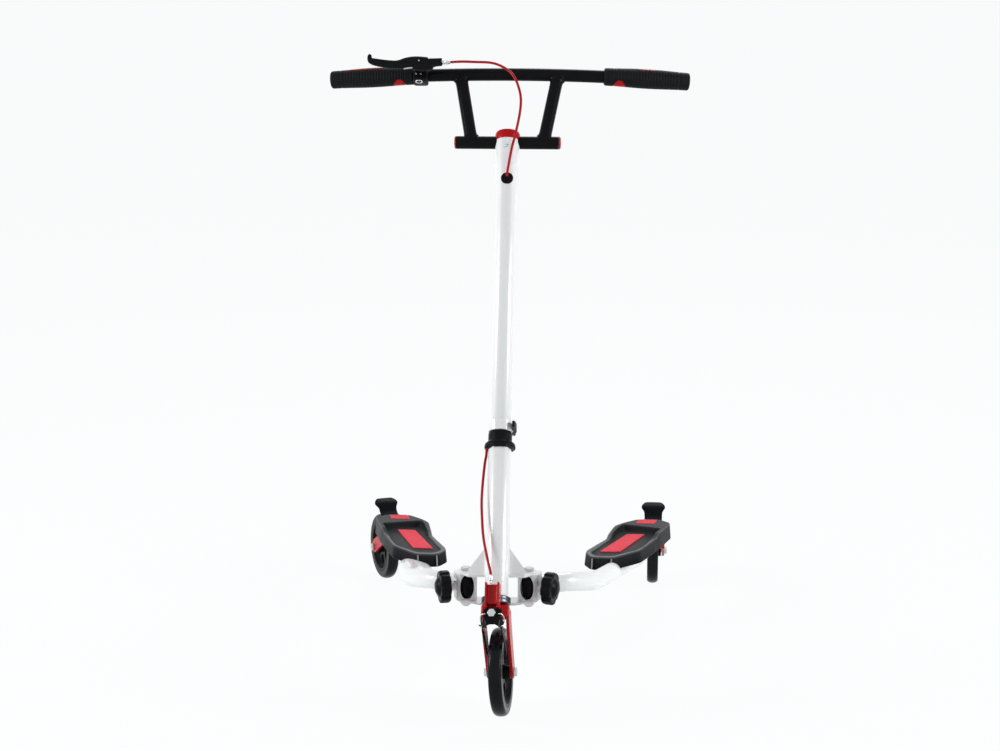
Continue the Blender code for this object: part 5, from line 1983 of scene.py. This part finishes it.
@dataclass
class Caster:
    """A trailing caster: fork, axle, wheel and fender brake.

    Attributes:
        side: The rider's side.
        cheek: Outline of a fender's side plate, backward and up from the swivel's foot.
        cheek_from: Inner face of a side plate.
        cheek_to: Outer face of a side plate.
        tongue: Middle line of the fender's top, as backward, height, half width and half thickness.
        crown: How far the tongue bows up in its middle.
    """

    side: Side
    cheek: Rows = (
        (0.0100, 0.0940),
        (0.0210, 0.0940),
        (0.0235, 0.1080),
        (0.0330, 0.1290),
        (0.0300, 0.1360),
        (0.0125, 0.1255),
        (0.0085, 0.1200),
    )
    cheek_from: float = 0.0146
    cheek_to: float = 0.0169
    tongue: Rows = (
        (0.0105, 0.1195, 0.0160, 0.0008),
        (0.0125, 0.1210, 0.0168, 0.0016),
        (0.0300, 0.1298, 0.0168, 0.0022),
        (0.0440, 0.1378, 0.0169, 0.0024),
        (0.0490, 0.1440, 0.0176, 0.0026),
        (0.0530, 0.1485, 0.0204, 0.0028),
        (0.0568, 0.1512, 0.0223, 0.0029),
        (0.0615, 0.1535, 0.0219, 0.0028),
        (0.0672, 0.1556, 0.0186, 0.0024),
        (0.0712, 0.1570, 0.0154, 0.0016),
        (0.0722, 0.1574, 0.0140, 0.0006),
    )
    crown: float = 0.0013

    @property
    def matrix(self) -> Matrix:
        """From the caster's own axes, swivel at the middle and backwards along +Y, to the model's.

        Returns:
            The matrix.
        """
        swivel = Vector(joint(f"{self.side.word}_caster_swivel")["pos_m"])
        trail = Vector(joint(f"{self.side.word}_rear_wheel_spin")["pos_m"]) - swivel
        trail.z = 0
        turn = Vector((0, 1, 0)).rotation_difference(trail).to_matrix().to_4x4()
        return Matrix.Translation((swivel.x, swivel.y, GROUND.z)) @ turn

    def fender(self) -> None:
        """The fender brake: a tongue, thick in its middle and wide at the pad, and two side plates."""
        word, at = self.side.word, self.matrix
        body, slot = f"{word}_fender", "charcoal_plastic"
        line = curve(self.tongue, 10)
        path = np.stack([0 * line[:, 0], line[:, 0], line[:, 1]], axis=-1)
        ring = swept(path, line[:, 2], 72, up=(0.0, 0.3, 1.0), flat=line[:, 3] / line[:, 2], square=0.42)
        across = np.clip(1 - (ring[..., 0] / 0.0224) ** 2, 0, 1)
        ring[..., 2] += self.crown * across * np.sin(pi * np.linspace(0, 1, len(path)))[:, None]
        surface(f"{body}_tongue", ring, at, body, slot, [f"{body}_brake"], caps=True)
        count = 120
        outline = evenly(self.cheek, count, soft=3)
        middle = outline.mean(axis=0)
        width = np.array([self.cheek_from, self.cheek_from + 0.0003, self.cheek_to - 0.0003, self.cheek_to])
        shrink = np.array([0.97, 1.0, 1.0, 0.97])[:, None, None]
        flat = middle + (outline - middle)[None] * shrink
        for hand in Side:
            out = np.broadcast_to(hand.value * width[:, None, None], (4, count, 1))
            plate = np.concatenate([out, flat], axis=-1)
            surface(f"{body}_cheek_{hand.word}", plate, at, body, slot, caps=True)

    def build(self) -> None:
        """Dresses the caster's solids and makes its wheel."""
        word = self.side.word
        for node, edge in {"caster_fork": 0.0008, "rear_axle": 0.0004}.items():
            refined(f"{word}_{node}", edge)
        self.fender()
        nodes = (f"{word}_rear_wheel_core", f"{word}_rear_tyre")
        spin = f"{word}_rear_wheel_spin"
        Wheel(f"{word}_rear", spin, radius=0.06304, half=0.01325, rim=0.0480, nodes=nodes).build()


def main() -> None:
    """Builds the studio and each sub-assembly in order."""
    logging.basicConfig(level=logging.INFO, format="%(name)s: %(message)s")
    Studio().build()
    Cable("upper_cable", UPPER_ROUTE, COLUMN_FRAME).build()
    Cable("lower_cable", LOWER_ROUTE, FORK_FRAME).build()
    Frame().build()
    Fork().build()
    nodes = ("front_wheel_core", "front_tyre")
    Wheel("front", "front_wheel", radius=0.0722, half=0.01375, rim=0.0575, nodes=nodes).build()
    Column().build()
    for side, angle in ((Side.RIGHT, 14.40), (Side.LEFT, 18.03)):
        Arm(side, angle).build()
        Caster(side).build()


if __name__ == "__main__":
    main()
